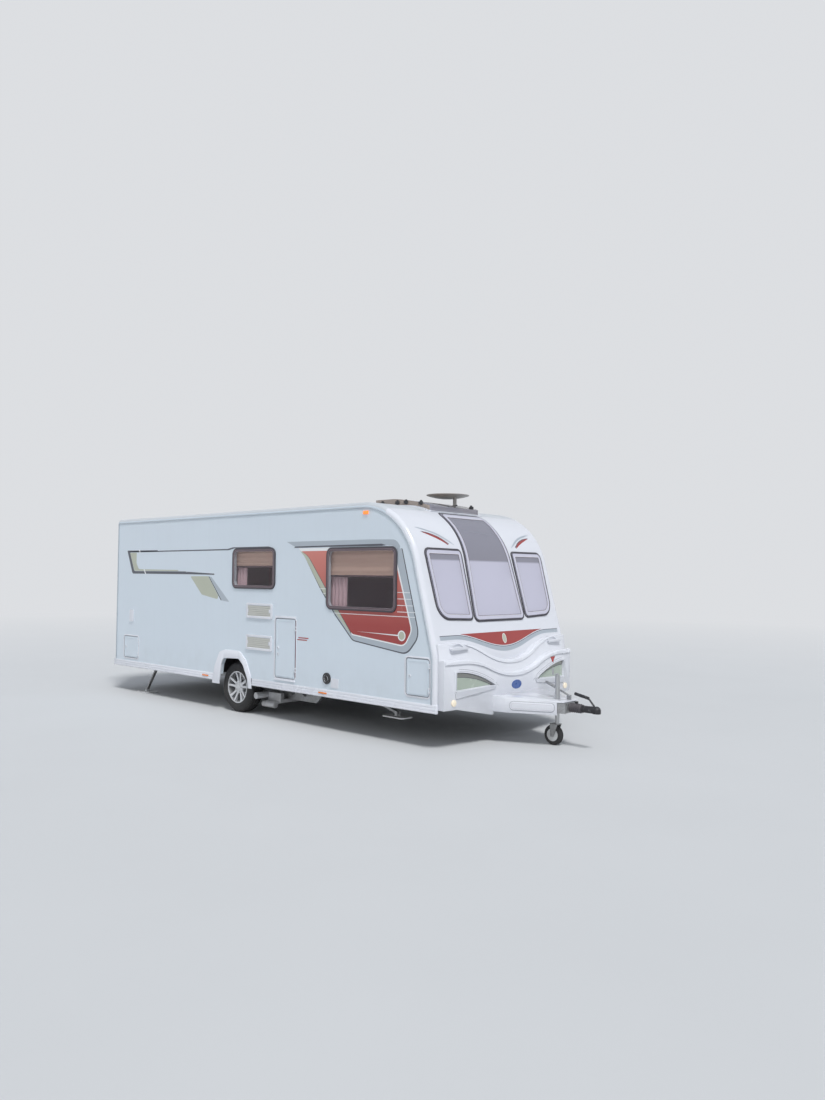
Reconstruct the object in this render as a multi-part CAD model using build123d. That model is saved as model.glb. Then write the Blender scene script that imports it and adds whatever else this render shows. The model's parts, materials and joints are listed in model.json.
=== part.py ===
from build123d import *
import math
import os

# Single-axle travel caravan, parked: on its wheels, its jockey wheel and its two rear corner steadies.
# X runs forward to the hitch, Y to the nearside, Z up from the ground. Sizes are in millimetres.
# The pieces are drawn with X counted from the rear wall, and write() moves them to the part's own origin.

# Body
BODY_WIDTH = 2250
ROOF_Z = 2420
WALL_BOTTOM_Z = 440
WALL_THICK = 34
FLOOR_THICK = 44
TAIL_RADIUS = 60
EDGE_RADIUS = 45
BROW_START_X = 5051
BROW_RADIUS = 800
NOSE_LEAN_DEG = 15.3
NOSE_BREAK_Z = 950
KNEE_RADIUS = 400
ROOF_JOINT_X = 5385
FRONT_WRAP = 50
CROWN_HEIGHT = 35
CROWN_REAR_X = 160
CROWN_FRONT_X = 4450

# Running gear
WHEEL_X = 2854
WHEEL_RADIUS = 298
WHEEL_INSET = 150
TYRE_WIDTH = 195
RIM_RADIUS = 190.5
FLANGE_RADIUS = 204
STUB_RADIUS = 20
BEARING_CLEARANCE = 0.05
AXLE_TUBE_RADIUS = 50
AXLE_ARM_LENGTH = 160
DRUM_RADIUS = 120

# Chassis
RAIL_INSET = 375
RAIL_THICK = 5
RAIL_FLANGE = 50
RAIL_REAR_X = 420
RAIL_FRONT_X = 4750
RAIL_DEEP_REAR_X = 2400
RAIL_DEEP_FRONT_X = 3950
RAIL_DEEP_Z = 190
RAIL_SHALLOW_Z = 345
DRAWBAR_REAR_X = 4700
DRAWBAR_REAR_INSET = 320
DRAWBAR_LENGTH = 2160
DRAWBAR_FRONT_X = DRAWBAR_REAR_X + DRAWBAR_LENGTH
DRAWBAR_FRONT_Y = 95
DRAWBAR_WIDTH = 50
DRAWBAR_DEPTH = 100

# Hitch and jockey wheel
COUPLING_AHEAD = 320
COUPLING_NECK = 190
COUPLING_TIP_X = DRAWBAR_FRONT_X + COUPLING_AHEAD
COUPLING_Z = 390
CUP_RADIUS = 25.1
CUP_DEPTH = 30
CUP_WALL = 15
JOCKEY_SETBACK = 160
JOCKEY_X = DRAWBAR_FRONT_X - JOCKEY_SETBACK
JOCKEY_TUBE_RADIUS = 24
JOCKEY_TUBE_WALL = 4
JOCKEY_TRAIL = 40
JOCKEY_WHEEL_RADIUS = 100
JOCKEY_WHEEL_WIDTH = 60
JOCKEY_LIFT = 80

# Steadies
STEADY_INSET = 195
STEADY_LEG_LENGTH = 440
STEADY_LEG_WIDTH = 36
STEADY_PIN_RADIUS = 6
STEADY_PIVOT_DROP = 45
STEADY_FOOT_PIN_Z = 45
STEADY_RAISED_DEG = 16
REAR_STEADY_X = 850
FRONT_STEADY_X = 4972
PAD_LENGTH = 300
PAD_WIDTH = 170
PAD_THICK = 12

# Skirts, arches and trims
SKIRT_BOTTOM_Z = 355
ARCH_PROUD = 15
BUMPER_PROUD = 30
PANE_PROUD = 12
PANE_LAP = 18
DOOR_GAP = 5
HINGE_RADIUS = 7
HINGE_PIN_RADIUS = 3
HINGE_STAND = 8
HINGE_LEAF = 18
SEAT_GAP = 0.3

HALF = BODY_WIDTH / 2
LEAN = math.radians(NOSE_LEAN_DEG)
FLOOR_TOP_Z = WALL_BOTTOM_Z + FLOOR_THICK
WHEEL_Y = HALF - WHEEL_INSET
RAIL_Y = HALF - RAIL_INSET
DRAWBAR_REAR_Y = HALF - DRAWBAR_REAR_INSET
STEADY_Y = HALF - STEADY_INSET
OVERALL_LENGTH = COUPLING_TIP_X + BUMPER_PROUD
OFFSIDE = -1
NEARSIDE = 1
SIDES = (OFFSIDE, NEARSIDE)

# Side windows: side, rear x, front x, sill z, head z
SIDE_WINDOWS = [
    (OFFSIDE, 2840, 3610, 1515, 1944),
    (OFFSIDE, 4540, 5530, 1320, 1930),
    (NEARSIDE, 4540, 5530, 1320, 1930),
    (NEARSIDE, 760, 1740, 1320, 1930),
]
WINDOW_CORNER = 70

# Doors: name, side, rear x, front x, sill z, head z, hinge edge (-1 rear, 1 front), knuckle and lock heights
DOORS = [
    ("entrance_door", NEARSIDE, 3450, 4060, 490, 2180, 1, (700, 1340, 1980), (1240,)),
    ("gas_locker_door", OFFSIDE, 3660, 4000, 500, 1160, 1, (600, 1060), (760, 830)),
    ("front_locker_door", OFFSIDE, 5695, 5988, 510, 860, 1, (570, 800), (690,)),
    ("cassette_door", OFFSIDE, 280, 645, 490, 776, 1, (540, 726), (633,)),
]
DOOR_CORNER = 25
LOCK_RADIUS = 11
LOCK_PROUD = 6
LOCK_INSET = 42
BORDER_INSET = 13
BORDER_WIDTH = 15
BORDER_PROUD = 3
HANDLE_LENGTH = 150
HANDLE_HEIGHT = 44
HANDLE_PROUD = 13
HANDLE_Z = 1150
KNUCKLE_LENGTH = 24

# Entrance door window, inside the door's own edges
DOOR_WINDOW_SIDE_MARGIN = 130
DOOR_WINDOW_SILL_Z = 1380
DOOR_WINDOW_HEAD_Z = 1930


# Helpers
def box(x0, x1, y0, y1, z0, z1):
    block = Box(x1 - x0, y1 - y0, z1 - z0)
    return Pos((x0 + x1) / 2, (y0 + y1) / 2, (z0 + z1) / 2) * block


def prism_xz(face, y0, y1):
    return extrude(Plane.XZ.offset(-y1) * face, amount=y1 - y0)


def prism_yz(face, x0, x1):
    return extrude(Plane.YZ.offset(x0) * face, amount=x1 - x0)


def prism_xy(face, z0, z1):
    return extrude(Plane.XY.offset(z0) * face, amount=z1 - z0)


def rounded_polygon(points, radius):
    return make_face(FilletPolyline(*points, radius=radius, close=True))


def rounded_rectangle(x0, x1, z0, z1, radius):
    return rounded_polygon([(x0, z0), (x1, z0), (x1, z1), (x0, z1)], radius)


def cylinder_y(x, z, radius, y0, y1):
    return Pos(x, (y0 + y1) / 2, z) * Rot(90, 0, 0) * Cylinder(radius, y1 - y0)


def cylinder_x(y, z, radius, x0, x1):
    return Pos((x0 + x1) / 2, y, z) * Rot(0, 90, 0) * Cylinder(radius, x1 - x0)


def cylinder_z(x, y, radius, z0, z1):
    return Pos(x, y, (z0 + z1) / 2) * Cylinder(radius, z1 - z0)


def side_span(side, near, far):
    return sorted((side * near, side * far))


def bar_between(start, end, radius):
    path = Line(start, end)
    section = Plane(origin=start, z_dir=path % 0) * Circle(radius)
    return sweep(section, path=path)


def both_sides(shape):
    return shape + mirror(shape, about=Plane.XZ)


def write(node, shape):
    solids = shape.solids()
    whole = solids[0] if len(solids) == 1 else Compound(solids)
    export_step(Pos(BUMPER_PROUD - OVERALL_LENGTH / 2, 0, 0) * whole, f"parts/{node}.step")


# Body shell
def arc_point(centre, radius, angle):
    return (centre[0] + radius * math.cos(angle), centre[1] + radius * math.sin(angle))


BROW_CENTRE = (BROW_START_X, ROOF_Z - BROW_RADIUS)
BROW_END = arc_point(BROW_CENTRE, BROW_RADIUS, LEAN)
NOSE_TOP = (BROW_END[0] + (BROW_END[1] - NOSE_BREAK_Z) * math.tan(LEAN), NOSE_BREAK_Z)
KNEE_CENTRE = arc_point(NOSE_TOP, -KNEE_RADIUS, LEAN)
NOSE_LOW = arc_point(KNEE_CENTRE, KNEE_RADIUS, 0)
NOSE_X = NOSE_LOW[0]


def body_outline():
    tail_centre = (TAIL_RADIUS, ROOF_Z - TAIL_RADIUS)
    tail_side = (0, ROOF_Z - TAIL_RADIUS)
    tail_top = (TAIL_RADIUS, ROOF_Z)
    brow_start = (BROW_START_X, ROOF_Z)
    edges = [
        Line((0, WALL_BOTTOM_Z), tail_side),
        ThreePointArc(tail_side, arc_point(tail_centre, TAIL_RADIUS, 0.75 * math.pi), tail_top),
        Line(tail_top, brow_start),
        ThreePointArc(brow_start, arc_point(BROW_CENTRE, BROW_RADIUS, LEAN / 2 + math.pi / 4), BROW_END),
        Line(BROW_END, NOSE_TOP),
        ThreePointArc(NOSE_TOP, arc_point(KNEE_CENTRE, KNEE_RADIUS, LEAN / 2), NOSE_LOW),
        Line(NOSE_LOW, (NOSE_X, WALL_BOTTOM_Z)),
        Line((NOSE_X, WALL_BOTTOM_Z), (0, WALL_BOTTOM_Z)),
    ]
    return make_face(edges)


def open_below(face, margin):
    low = Pos(NOSE_X / 2, WALL_BOTTOM_Z + margin / 2) * Rectangle(NOSE_X - 2 * margin, 3 * margin)
    return face + low


OUTLINE = body_outline()
INNER = open_below(offset(OUTLINE, amount=-WALL_THICK, kind=Kind.INTERSECTION), WALL_THICK)
WRAP_INNER = open_below(offset(OUTLINE, amount=-FRONT_WRAP, kind=Kind.INTERSECTION), FRONT_WRAP)
INNER_PRISM = prism_xz(INNER, -HALF, HALF)


def body_block():
    block = prism_xz(OUTLINE, -HALF, HALF)
    rims = [
        edge for edge in block.edges()
        if abs(abs(edge.center().Y) - HALF) < 0.01 and edge.center().Z > WALL_BOTTOM_Z + 1
    ]
    return fillet(rims, EDGE_RADIUS)


BLOCK = body_block()
BIG = 9000


def front_zone():
    band = prism_xz(OUTLINE, -HALF, HALF) - prism_xz(WRAP_INNER, -BIG, BIG)
    return band & box(ROOF_JOINT_X, BIG, -BIG, BIG, 0, BIG)


FRONT_ZONE = front_zone()


def window_prism(side, rear_x, front_x, sill_z, head_z, corner, near, far):
    y0, y1 = side_span(side, near, far)
    return prism_xz(rounded_rectangle(rear_x, front_x, sill_z, head_z, corner), y0, y1)


# Wheel opening and its trim's outer edge: x from the axle, z, corner radius
ARCH_OPENING = [
    (-274, 300, 0),
    (-232, 560, 30),
    (-186, 640, 45),
    (121, 652, 45),
    (206, 585, 60),
    (296, 430, 60),
    (311, 300, 0),
]
ARCH_TRIM = [
    (-418, 320, 0),
    (-374, 520, 120),
    (-269, 712, 60),
    (-154, 745, 60),
    (134, 745, 90),
    (263, 645, 80),
    (351, 480, 80),
    (371, 320, 0),
]
ARCH_REAR_X = WHEEL_X + ARCH_TRIM[0][0]
ARCH_FRONT_X = WHEEL_X + ARCH_TRIM[-1][0]


def arch_face(table):
    return rounded_polygon([(WHEEL_X + x, z) for x, z, radius in table], [radius for x, z, radius in table])


def side_wall(side):
    y0, y1 = side_span(side, HALF - WALL_THICK, HALF)
    wall = (BLOCK & box(-BIG, BIG, y0, y1, 0, BIG) & INNER_PRISM) - FRONT_ZONE
    for window_side, rear_x, front_x, sill_z, head_z in SIDE_WINDOWS:
        if window_side == side:
            wall -= window_prism(side, rear_x, front_x, sill_z, head_z, WINDOW_CORNER, 0, HALF + 1)
    for name, door_side, rear_x, front_x, sill_z, head_z, *rest in DOORS:
        if door_side == side:
            opening = (rear_x - DOOR_GAP, front_x + DOOR_GAP, sill_z - DOOR_GAP, head_z + DOOR_GAP)
            wall -= window_prism(side, *opening, DOOR_CORNER + DOOR_GAP, 0, HALF + 1)
    return wall - prism_xz(arch_face(ARCH_OPENING), y0 - 1, y1 + 1)


def rear_panel():
    return BLOCK & box(-1, WALL_THICK, -BIG, BIG, 0, ROOF_Z - WALL_THICK)


def roof_crown():
    half_width = HALF - EDGE_RADIUS
    lens = make_face([
        ThreePointArc((-half_width, ROOF_Z), (0, ROOF_Z + CROWN_HEIGHT), (half_width, ROOF_Z)),
        Line((half_width, ROOF_Z), (-half_width, ROOF_Z)),
    ])
    run = make_face([
        Line((TAIL_RADIUS, ROOF_Z), (CROWN_REAR_X, ROOF_Z + CROWN_HEIGHT)),
        Line((CROWN_REAR_X, ROOF_Z + CROWN_HEIGHT), (CROWN_FRONT_X, ROOF_Z + CROWN_HEIGHT)),
        Line((CROWN_FRONT_X, ROOF_Z + CROWN_HEIGHT), (BROW_START_X, ROOF_Z)),
        Line((BROW_START_X, ROOF_Z), (TAIL_RADIUS, ROOF_Z)),
    ])
    return prism_yz(lens, TAIL_RADIUS, BROW_START_X) & prism_xz(run, -half_width, half_width)


def roof_panel():
    roof = (BLOCK & box(-1, ROOF_JOINT_X, -BIG, BIG, ROOF_Z - 400, BIG)) - INNER_PRISM
    roof -= box(-1, WALL_THICK, -BIG, BIG, 0, ROOF_Z - WALL_THICK)
    return roof + roof_crown()


# Front windows, as outlines seen from ahead: y, z, corner radius
FRONT_PANE_INSET = 125
FRONT_SIDE_WINDOW = [
    (448, 1932, 35),
    (HALF - FRONT_PANE_INSET, 1934, 60),
    (HALF - FRONT_PANE_INSET - 24, 1250, 160),
    (464, 1231, 45),
]
FRONT_CENTRE_WINDOW = [(-360, 2338, 60), (360, 2338, 60), (428, 1215, 55), (-428, 1215, 55)]


def outline_face(table):
    return rounded_polygon([row[:2] for row in table], [row[2] for row in table])


def front_window_faces():
    side = outline_face(FRONT_SIDE_WINDOW)
    return [side, outline_face(FRONT_CENTRE_WINDOW), mirror(side, about=Plane.YZ)]


def front_panel():
    cavity = prism_xz(INNER, -(HALF - WALL_THICK), HALF - WALL_THICK)
    panel = (BLOCK & FRONT_ZONE) - cavity
    for face in front_window_faces():
        panel -= prism_yz(offset(face, amount=-PANE_LAP), ROOF_JOINT_X, BIG)
    return panel


def front_windows():
    skin = offset(OUTLINE, amount=PANE_PROUD, kind=Kind.INTERSECTION)
    skin_prism = prism_xz(skin, -HALF, HALF) - prism_xz(OUTLINE, -HALF, HALF)
    panes = [skin_prism & prism_yz(face, ROOF_JOINT_X, BIG) for face in front_window_faces()]
    return Compound([solid for pane in panes for solid in pane.solids()])


def side_windows():
    panes = []
    for side, rear_x, front_x, sill_z, head_z in SIDE_WINDOWS:
        lap = (rear_x - PANE_LAP, front_x + PANE_LAP, sill_z - PANE_LAP, head_z + PANE_LAP)
        panes.append(window_prism(side, *lap, WINDOW_CORNER, HALF, HALF + PANE_PROUD))
    return Compound([solid for pane in panes for solid in pane.solids()])


def floor_panel():
    inner_y = HALF - WALL_THICK
    slab = box(WALL_THICK, NOSE_X - WALL_THICK, -inner_y, inner_y, WALL_BOTTOM_Z, FLOOR_TOP_Z)
    return slab - both_sides(wheel_box_block(0, FLOOR_TOP_Z + 1))


# Wheel boxes
WHEEL_BOX_DEPTH = 290
WHEEL_BOX_TOP_Z = 720
WHEEL_BOX_HALF_LENGTH = 365
WHEEL_BOX_THICK = 6


def wheel_box_block(z0, z1, inset=0):
    x0 = WHEEL_X - WHEEL_BOX_HALF_LENGTH + inset
    x1 = WHEEL_X + WHEEL_BOX_HALF_LENGTH - inset
    return box(x0, x1, HALF - WHEEL_BOX_DEPTH + inset, HALF - WALL_THICK, z0, z1)


def wheel_boxes():
    outer = wheel_box_block(WALL_BOTTOM_Z, WHEEL_BOX_TOP_Z)
    hollow = wheel_box_block(0, WHEEL_BOX_TOP_Z - WHEEL_BOX_THICK, WHEEL_BOX_THICK)
    return both_sides(outer - hollow)


# Lower front moulding: the steps dip to the middle, each line flat towards the corners
STEP_EDGE_Z = 1010
STEP_DIP_Z = 810
RIDGE_EDGE_Z = 860
RIDGE_DIP_Z = 690
MOULDING_BOTTOM_Z = 390
CHIN_RUN = 170
CHIN_HALF = 420
CHIN_Z = 290
MOULDING_INSET = 25
MOULDING_HALF_WIDTH = HALF - MOULDING_INSET
STEP_FLAT_INSET = 240
STEP_FLAT_Y = MOULDING_HALF_WIDTH - STEP_FLAT_INSET
MOULDING_STEP_X = 6150
MOULDING_NOSE_X = 6205
MOULDING_BOW = 48
MOULDING_LEAN_DEG = 8
MOULDING_NOTCH_GAP = 8
STEP_ROUND = 9
RIDGE_ROUND = 14


def dipped_region(edge_z, dip_z):
    half = MOULDING_HALF_WIDTH
    drop = edge_z - dip_z
    radius = (STEP_FLAT_Y ** 2 + drop ** 2) / (4 * drop)
    turn = math.asin(STEP_FLAT_Y / 2 / radius) / 2
    outer = (-STEP_FLAT_Y + radius * math.sin(turn), edge_z - radius * (1 - math.cos(turn)))
    inner = (-radius * math.sin(turn), dip_z + radius * (1 - math.cos(turn)))
    middle = (-STEP_FLAT_Y / 2, edge_z - drop / 2)
    left = [
        Line((-half, edge_z), (-STEP_FLAT_Y, edge_z)),
        ThreePointArc((-STEP_FLAT_Y, edge_z), outer, middle),
        ThreePointArc(middle, inner, (0, dip_z)),
    ]
    right = [mirror(edge, about=Plane.YZ) for edge in left]
    return make_face([
        *left,
        *right,
        Line((half, edge_z), (half, MOULDING_BOTTOM_Z)),
        Line((half, MOULDING_BOTTOM_Z), (-half, MOULDING_BOTTOM_Z)),
        Line((-half, MOULDING_BOTTOM_Z), (-half, edge_z)),
    ])


def bowed_plan(centre_x, back_x):
    half = MOULDING_HALF_WIDTH
    arc = ThreePointArc((centre_x - MOULDING_BOW, -half), (centre_x, 0), (centre_x - MOULDING_BOW, half))
    return make_face([
        arc,
        Line((centre_x - MOULDING_BOW, half), (back_x, half)),
        Line((back_x, half), (back_x, -half)),
        Line((back_x, -half), (centre_x - MOULDING_BOW, -half)),
    ])


# Intakes in the moulding, seen from ahead: y, z
INTAKE_TOP = (MOULDING_HALF_WIDTH - 161, 742)
INTAKE_LOW = (MOULDING_HALF_WIDTH - 159, 565)
INTAKE_TIP = (MOULDING_HALF_WIDTH - 734, 583)
INTAKE_ARCH = (MOULDING_HALF_WIDTH - 400, 712)
INTAKE_DEPTH = 16
INTAKE_FRAMES = [(28, 5), (11, 11)]  # width, proud
SILL_DROP = 73
SILL_PROUD = 10

# Grips above the handles
GRIP_Y = MOULDING_HALF_WIDTH - 270
GRIP_Z = 973
GRIP_HALF_WIDTH = 72
GRIP_HEIGHT = 30
GRIP_DEPTH = 12


def intake_face():
    return make_face([
        ThreePointArc(INTAKE_TOP, INTAKE_ARCH, INTAKE_TIP),
        Line(INTAKE_TIP, INTAKE_LOW),
        Line(INTAKE_LOW, INTAKE_TOP),
    ])


def sill_face():
    low = (INTAKE_LOW[0], INTAKE_LOW[1] - SILL_DROP)
    tip_low = (INTAKE_TIP[0], INTAKE_TIP[1] - SILL_DROP / 2)
    return make_face(Polyline(INTAKE_LOW, INTAKE_TIP, tip_low, low, close=True))


def grip_face():
    left = (GRIP_Y - GRIP_HALF_WIDTH, GRIP_Z)
    right = (GRIP_Y + GRIP_HALF_WIDTH, GRIP_Z)
    return make_face([ThreePointArc(left, (GRIP_Y, GRIP_Z + GRIP_HEIGHT), right), Line(right, left)])


def nose_block(proud):
    plan = bowed_plan(MOULDING_NOSE_X + proud, NOSE_X - 150)
    return prism_xy(plan, MOULDING_BOTTOM_Z, RIDGE_EDGE_Z + 10)


def facing_ahead(face):
    return both_sides(prism_yz(face, NOSE_X - 140, BIG))


def dip_z(y, edge_z, low_z):
    drop = edge_z - low_z
    radius = (STEP_FLAT_Y ** 2 + drop ** 2) / (4 * drop)
    if abs(y) >= STEP_FLAT_Y:
        return edge_z
    if abs(y) >= STEP_FLAT_Y / 2:
        return edge_z - radius + math.sqrt(radius ** 2 - (STEP_FLAT_Y - abs(y)) ** 2)
    return low_z + radius - math.sqrt(radius ** 2 - y ** 2)


def rounded_step(shape, edge_z, low_z, least_x, radius):
    crest = []
    for edge in shape.edges():
        points = [edge @ share for share in (0.02, 0.5, 0.98)]
        if all(p.X > least_x and abs(p.Z - dip_z(p.Y, edge_z, low_z)) < 0.5 for p in points):
            crest.append(edge)
    return fillet(crest, radius)


def chin():
    run_y = MOULDING_HALF_WIDTH - CHIN_RUN
    profile = make_face(Polyline(
        (-run_y, MOULDING_BOTTOM_Z),
        (-CHIN_HALF, CHIN_Z),
        (CHIN_HALF, CHIN_Z),
        (run_y, MOULDING_BOTTOM_Z),
        close=True,
    ))
    slab = prism_xy(bowed_plan(MOULDING_NOSE_X, NOSE_X), CHIN_Z, MOULDING_BOTTOM_Z)
    return slab & prism_yz(profile, NOSE_X, BIG)


def front_moulding():
    back_x = NOSE_X - 150
    lean = math.tan(math.radians(MOULDING_LEAN_DEG))
    height = STEP_EDGE_Z - MOULDING_BOTTOM_Z + 10
    low_x = MOULDING_STEP_X + lean * (STEP_DIP_Z - MOULDING_BOTTOM_Z)
    plan = Pos(0, 0, MOULDING_BOTTOM_Z) * bowed_plan(low_x, back_x)
    leaning = extrude(plan, amount=height, dir=(-lean, 0, 1))
    upper = leaning & prism_yz(dipped_region(STEP_EDGE_Z, STEP_DIP_Z), back_x, BIG)
    upper &= box(0, BIG, -BIG, BIG, RIDGE_DIP_Z - 100, BIG)
    upper = rounded_step(upper, STEP_EDGE_Z, STEP_DIP_Z, NOSE_X, STEP_ROUND)
    lower = nose_block(0) & prism_yz(dipped_region(RIDGE_EDGE_Z, RIDGE_DIP_Z), back_x, BIG)
    lower = rounded_step(lower, RIDGE_EDGE_Z, RIDGE_DIP_Z, NOSE_X, RIDGE_ROUND)
    for width, proud in INTAKE_FRAMES:
        lower += nose_block(proud) & facing_ahead(offset(intake_face(), amount=width))
    lower += nose_block(SILL_PROUD) & facing_ahead(sill_face())
    lower -= facing_ahead(intake_face()) - nose_block(-INTAKE_DEPTH)
    grip_floor = extrude(Pos(-GRIP_DEPTH, 0, 0) * plan, amount=height, dir=(-lean, 0, 1))
    upper -= facing_ahead(grip_face()) - grip_floor
    moulding = (upper + lower) - prism_xz(OUTLINE, -BIG, BIG) + chin()
    moulding -= box(-BIG, NOSE_X, -BIG, BIG, 0, WALL_BOTTOM_Z + 1)
    notch_y = drawbar_line(NOSE_X) + DRAWBAR_WIDTH / 2 + MOULDING_NOTCH_GAP
    return moulding - box(0, BIG, -notch_y, notch_y, 0, WALL_BOTTOM_Z + MOULDING_NOTCH_GAP)


# Skirts: a ribbed section under each wall, broken at the wheel
SKIRT_RIBS = 3
SKIRT_GROOVE = 4
SKIRT_PROUD = 4
SKIRT_CHAMFER = 8


def skirt_section():
    face_y = HALF + SKIRT_PROUD
    inner_y = face_y - WALL_THICK
    low_z = SKIRT_BOTTOM_Z
    pitch = (WALL_BOTTOM_Z - low_z) / SKIRT_RIBS
    points = [(inner_y, WALL_BOTTOM_Z), (face_y, WALL_BOTTOM_Z)]
    for index in range(1, SKIRT_RIBS):
        z = WALL_BOTTOM_Z - index * pitch
        points += [(face_y, z + SKIRT_GROOVE), (face_y - SKIRT_GROOVE, z), (face_y, z - SKIRT_GROOVE)]
    points += [(face_y, low_z + SKIRT_CHAMFER), (face_y - SKIRT_CHAMFER, low_z), (inner_y, low_z)]
    return make_face(Polyline(*points, close=True))


def skirts():
    rear = prism_yz(skirt_section(), 0, ARCH_REAR_X)
    front = prism_yz(skirt_section(), ARCH_FRONT_X, NOSE_X)
    solids = rear.solids() + front.solids()
    solids += [mirror(solid, about=Plane.XZ) for solid in list(solids)]
    return Compound(solids)


def arch_trims():
    ring = arch_face(ARCH_TRIM) - arch_face(ARCH_OPENING)
    return both_sides(prism_xz(ring, HALF, HALF + ARCH_PROUD))


# Doors
def door_axis(side, rear_x, front_x, hinge_edge):
    x = front_x + DOOR_GAP / 2 if hinge_edge > 0 else rear_x - DOOR_GAP / 2
    return x, side * (HALF + HINGE_STAND)


def door_leaf(side, rear_x, front_x, sill_z, head_z, hinge_edge, knuckles, locks):
    leaf = window_prism(side, rear_x, front_x, sill_z, head_z, DOOR_CORNER, HALF - WALL_THICK, HALF)
    lock_x = rear_x + LOCK_INSET if hinge_edge > 0 else front_x - LOCK_INSET
    for z in locks:
        leaf += cylinder_y(lock_x, z, LOCK_RADIUS, *side_span(side, HALF, HALF + LOCK_PROUD))
    x, y = door_axis(side, rear_x, front_x, hinge_edge)
    plate_y = side_span(side, HALF, HALF + HINGE_STAND)
    for z in knuckles:
        tongue = sorted((x, x - hinge_edge * HINGE_LEAF))
        z0 = z - KNUCKLE_LENGTH / 2
        z1 = z + KNUCKLE_LENGTH / 2
        leaf += box(*tongue, *plate_y, z0, z1)
        leaf += cylinder_z(x, y, HINGE_RADIUS, z0, z1)
        leaf -= cylinder_z(x, y, HINGE_PIN_RADIUS + BEARING_CLEARANCE, z0 - 1, z1 + 1)
    return leaf


def door_border(side, rear_x, front_x, sill_z, head_z, *rest):
    outer = (rear_x + BORDER_INSET, front_x - BORDER_INSET, sill_z + BORDER_INSET, head_z - BORDER_INSET)
    inset = BORDER_INSET + BORDER_WIDTH
    inner = (rear_x + inset, front_x - inset, sill_z + inset, head_z - inset)
    band = window_prism(side, *outer, DOOR_CORNER - BORDER_INSET / 2, HALF, HALF + BORDER_PROUD)
    return band - window_prism(side, *inner, DOOR_CORNER - BORDER_INSET, 0, BIG)


def hinge_posts():
    posts = []
    for name, side, rear_x, front_x, sill_z, head_z, hinge_edge, knuckles, locks in DOORS:
        x, y = door_axis(side, rear_x, front_x, hinge_edge)
        plate_y = side_span(side, HALF, HALF + HINGE_STAND)
        for z in knuckles:
            low = z - KNUCKLE_LENGTH / 2 - SEAT_GAP
            high = z + KNUCKLE_LENGTH / 2 + SEAT_GAP
            post = cylinder_z(x, y, HINGE_PIN_RADIUS, low - 1, high + 1)
            for z0, z1 in ((low - KNUCKLE_LENGTH / 2, low), (high, high + KNUCKLE_LENGTH / 2)):
                post += cylinder_z(x, y, HINGE_RADIUS, z0, z1)
                post += box(*sorted((x, x + hinge_edge * HINGE_LEAF)), *plate_y, z0, z1)
            posts += post.solids()
    return Compound(posts)


def entrance_door():
    name, side, rear_x, *rest = DOORS[0]
    leaf = door_leaf(*DOORS[0][1:])
    low_z = HANDLE_Z - HANDLE_HEIGHT / 2
    span = (rear_x + LOCK_RADIUS, rear_x + LOCK_RADIUS + HANDLE_LENGTH, low_z, low_z + HANDLE_HEIGHT)
    leaf += window_prism(side, *span, HANDLE_HEIGHT / 3, HALF, HALF + HANDLE_PROUD)
    return leaf - window_prism(side, *door_window_frame(), WINDOW_CORNER, 0, HALF + 1)


def door_window_frame():
    rear_x = DOORS[0][2] + DOOR_WINDOW_SIDE_MARGIN
    front_x = DOORS[0][3] - DOOR_WINDOW_SIDE_MARGIN
    return rear_x, front_x, DOOR_WINDOW_SILL_Z, DOOR_WINDOW_HEAD_Z


def door_window():
    rear_x, front_x, sill_z, head_z = door_window_frame()
    lap = (rear_x - PANE_LAP, front_x + PANE_LAP, sill_z - PANE_LAP, head_z + PANE_LAP)
    return window_prism(DOORS[0][1], *lap, WINDOW_CORNER, HALF, HALF + PANE_PROUD)


# Fridge vents: rear x, front x, sill z, head z
FRIDGE_VENTS = [(3120, 3590, 1150, 1320), (3120, 3590, 780, 950)]
VENT_LOUVRES = 6
VENT_PROUD = 14
VENT_BORDER = 22
VENT_CORNER = 12
LOUVRE_GAP = 15
LOUVRE_DEPTH = 10


def fridge_vents():
    solids = []
    for rear_x, front_x, sill_z, head_z in FRIDGE_VENTS:
        outer_y = -HALF - VENT_PROUD
        plate = prism_xz(rounded_rectangle(rear_x, front_x, sill_z, head_z, VENT_CORNER), outer_y, -HALF)
        pitch = (head_z - sill_z - 2 * VENT_BORDER) / VENT_LOUVRES
        for index in range(VENT_LOUVRES):
            top = sill_z + VENT_BORDER + pitch * (index + 0.5) + LOUVRE_GAP / 2
            slope = (outer_y + LOUVRE_DEPTH, top)
            gap = make_face(Polyline((outer_y, top - LOUVRE_GAP), (outer_y, top), slope, close=True))
            plate -= prism_yz(gap, rear_x + VENT_BORDER, front_x - VENT_BORDER)
        solids += plate.solids()
    return solids


FLUE_X = 4540
FLUE_Z = 558
FLUE_RADIUS = 58
FLUE_PROUD = 14


def flue():
    outer_y = -(HALF + FLUE_PROUD)
    disc = cylinder_y(FLUE_X, FLUE_Z, FLUE_RADIUS, outer_y, -HALF)
    ring = cylinder_y(FLUE_X, FLUE_Z, 40, outer_y - 1, outer_y + 8)
    core = cylinder_y(FLUE_X, FLUE_Z, 26, outer_y, -HALF)
    return (disc - ring + core - cylinder_y(FLUE_X, FLUE_Z, 18, outer_y - 1, outer_y + 10)).solids()


# Small covers on the walls: side, rear x, front x, sill z, head z, stand
WALL_COVERS = [
    (OFFSIDE, 4606, 4722, 467, 565, 6),
    (OFFSIDE, 415, 510, 985, 1150, 12),
    (NEARSIDE, 3000, 3140, 800, 960, 12),
    (NEARSIDE, 3480, 3800, 2225, 2275, 14),
]


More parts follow.
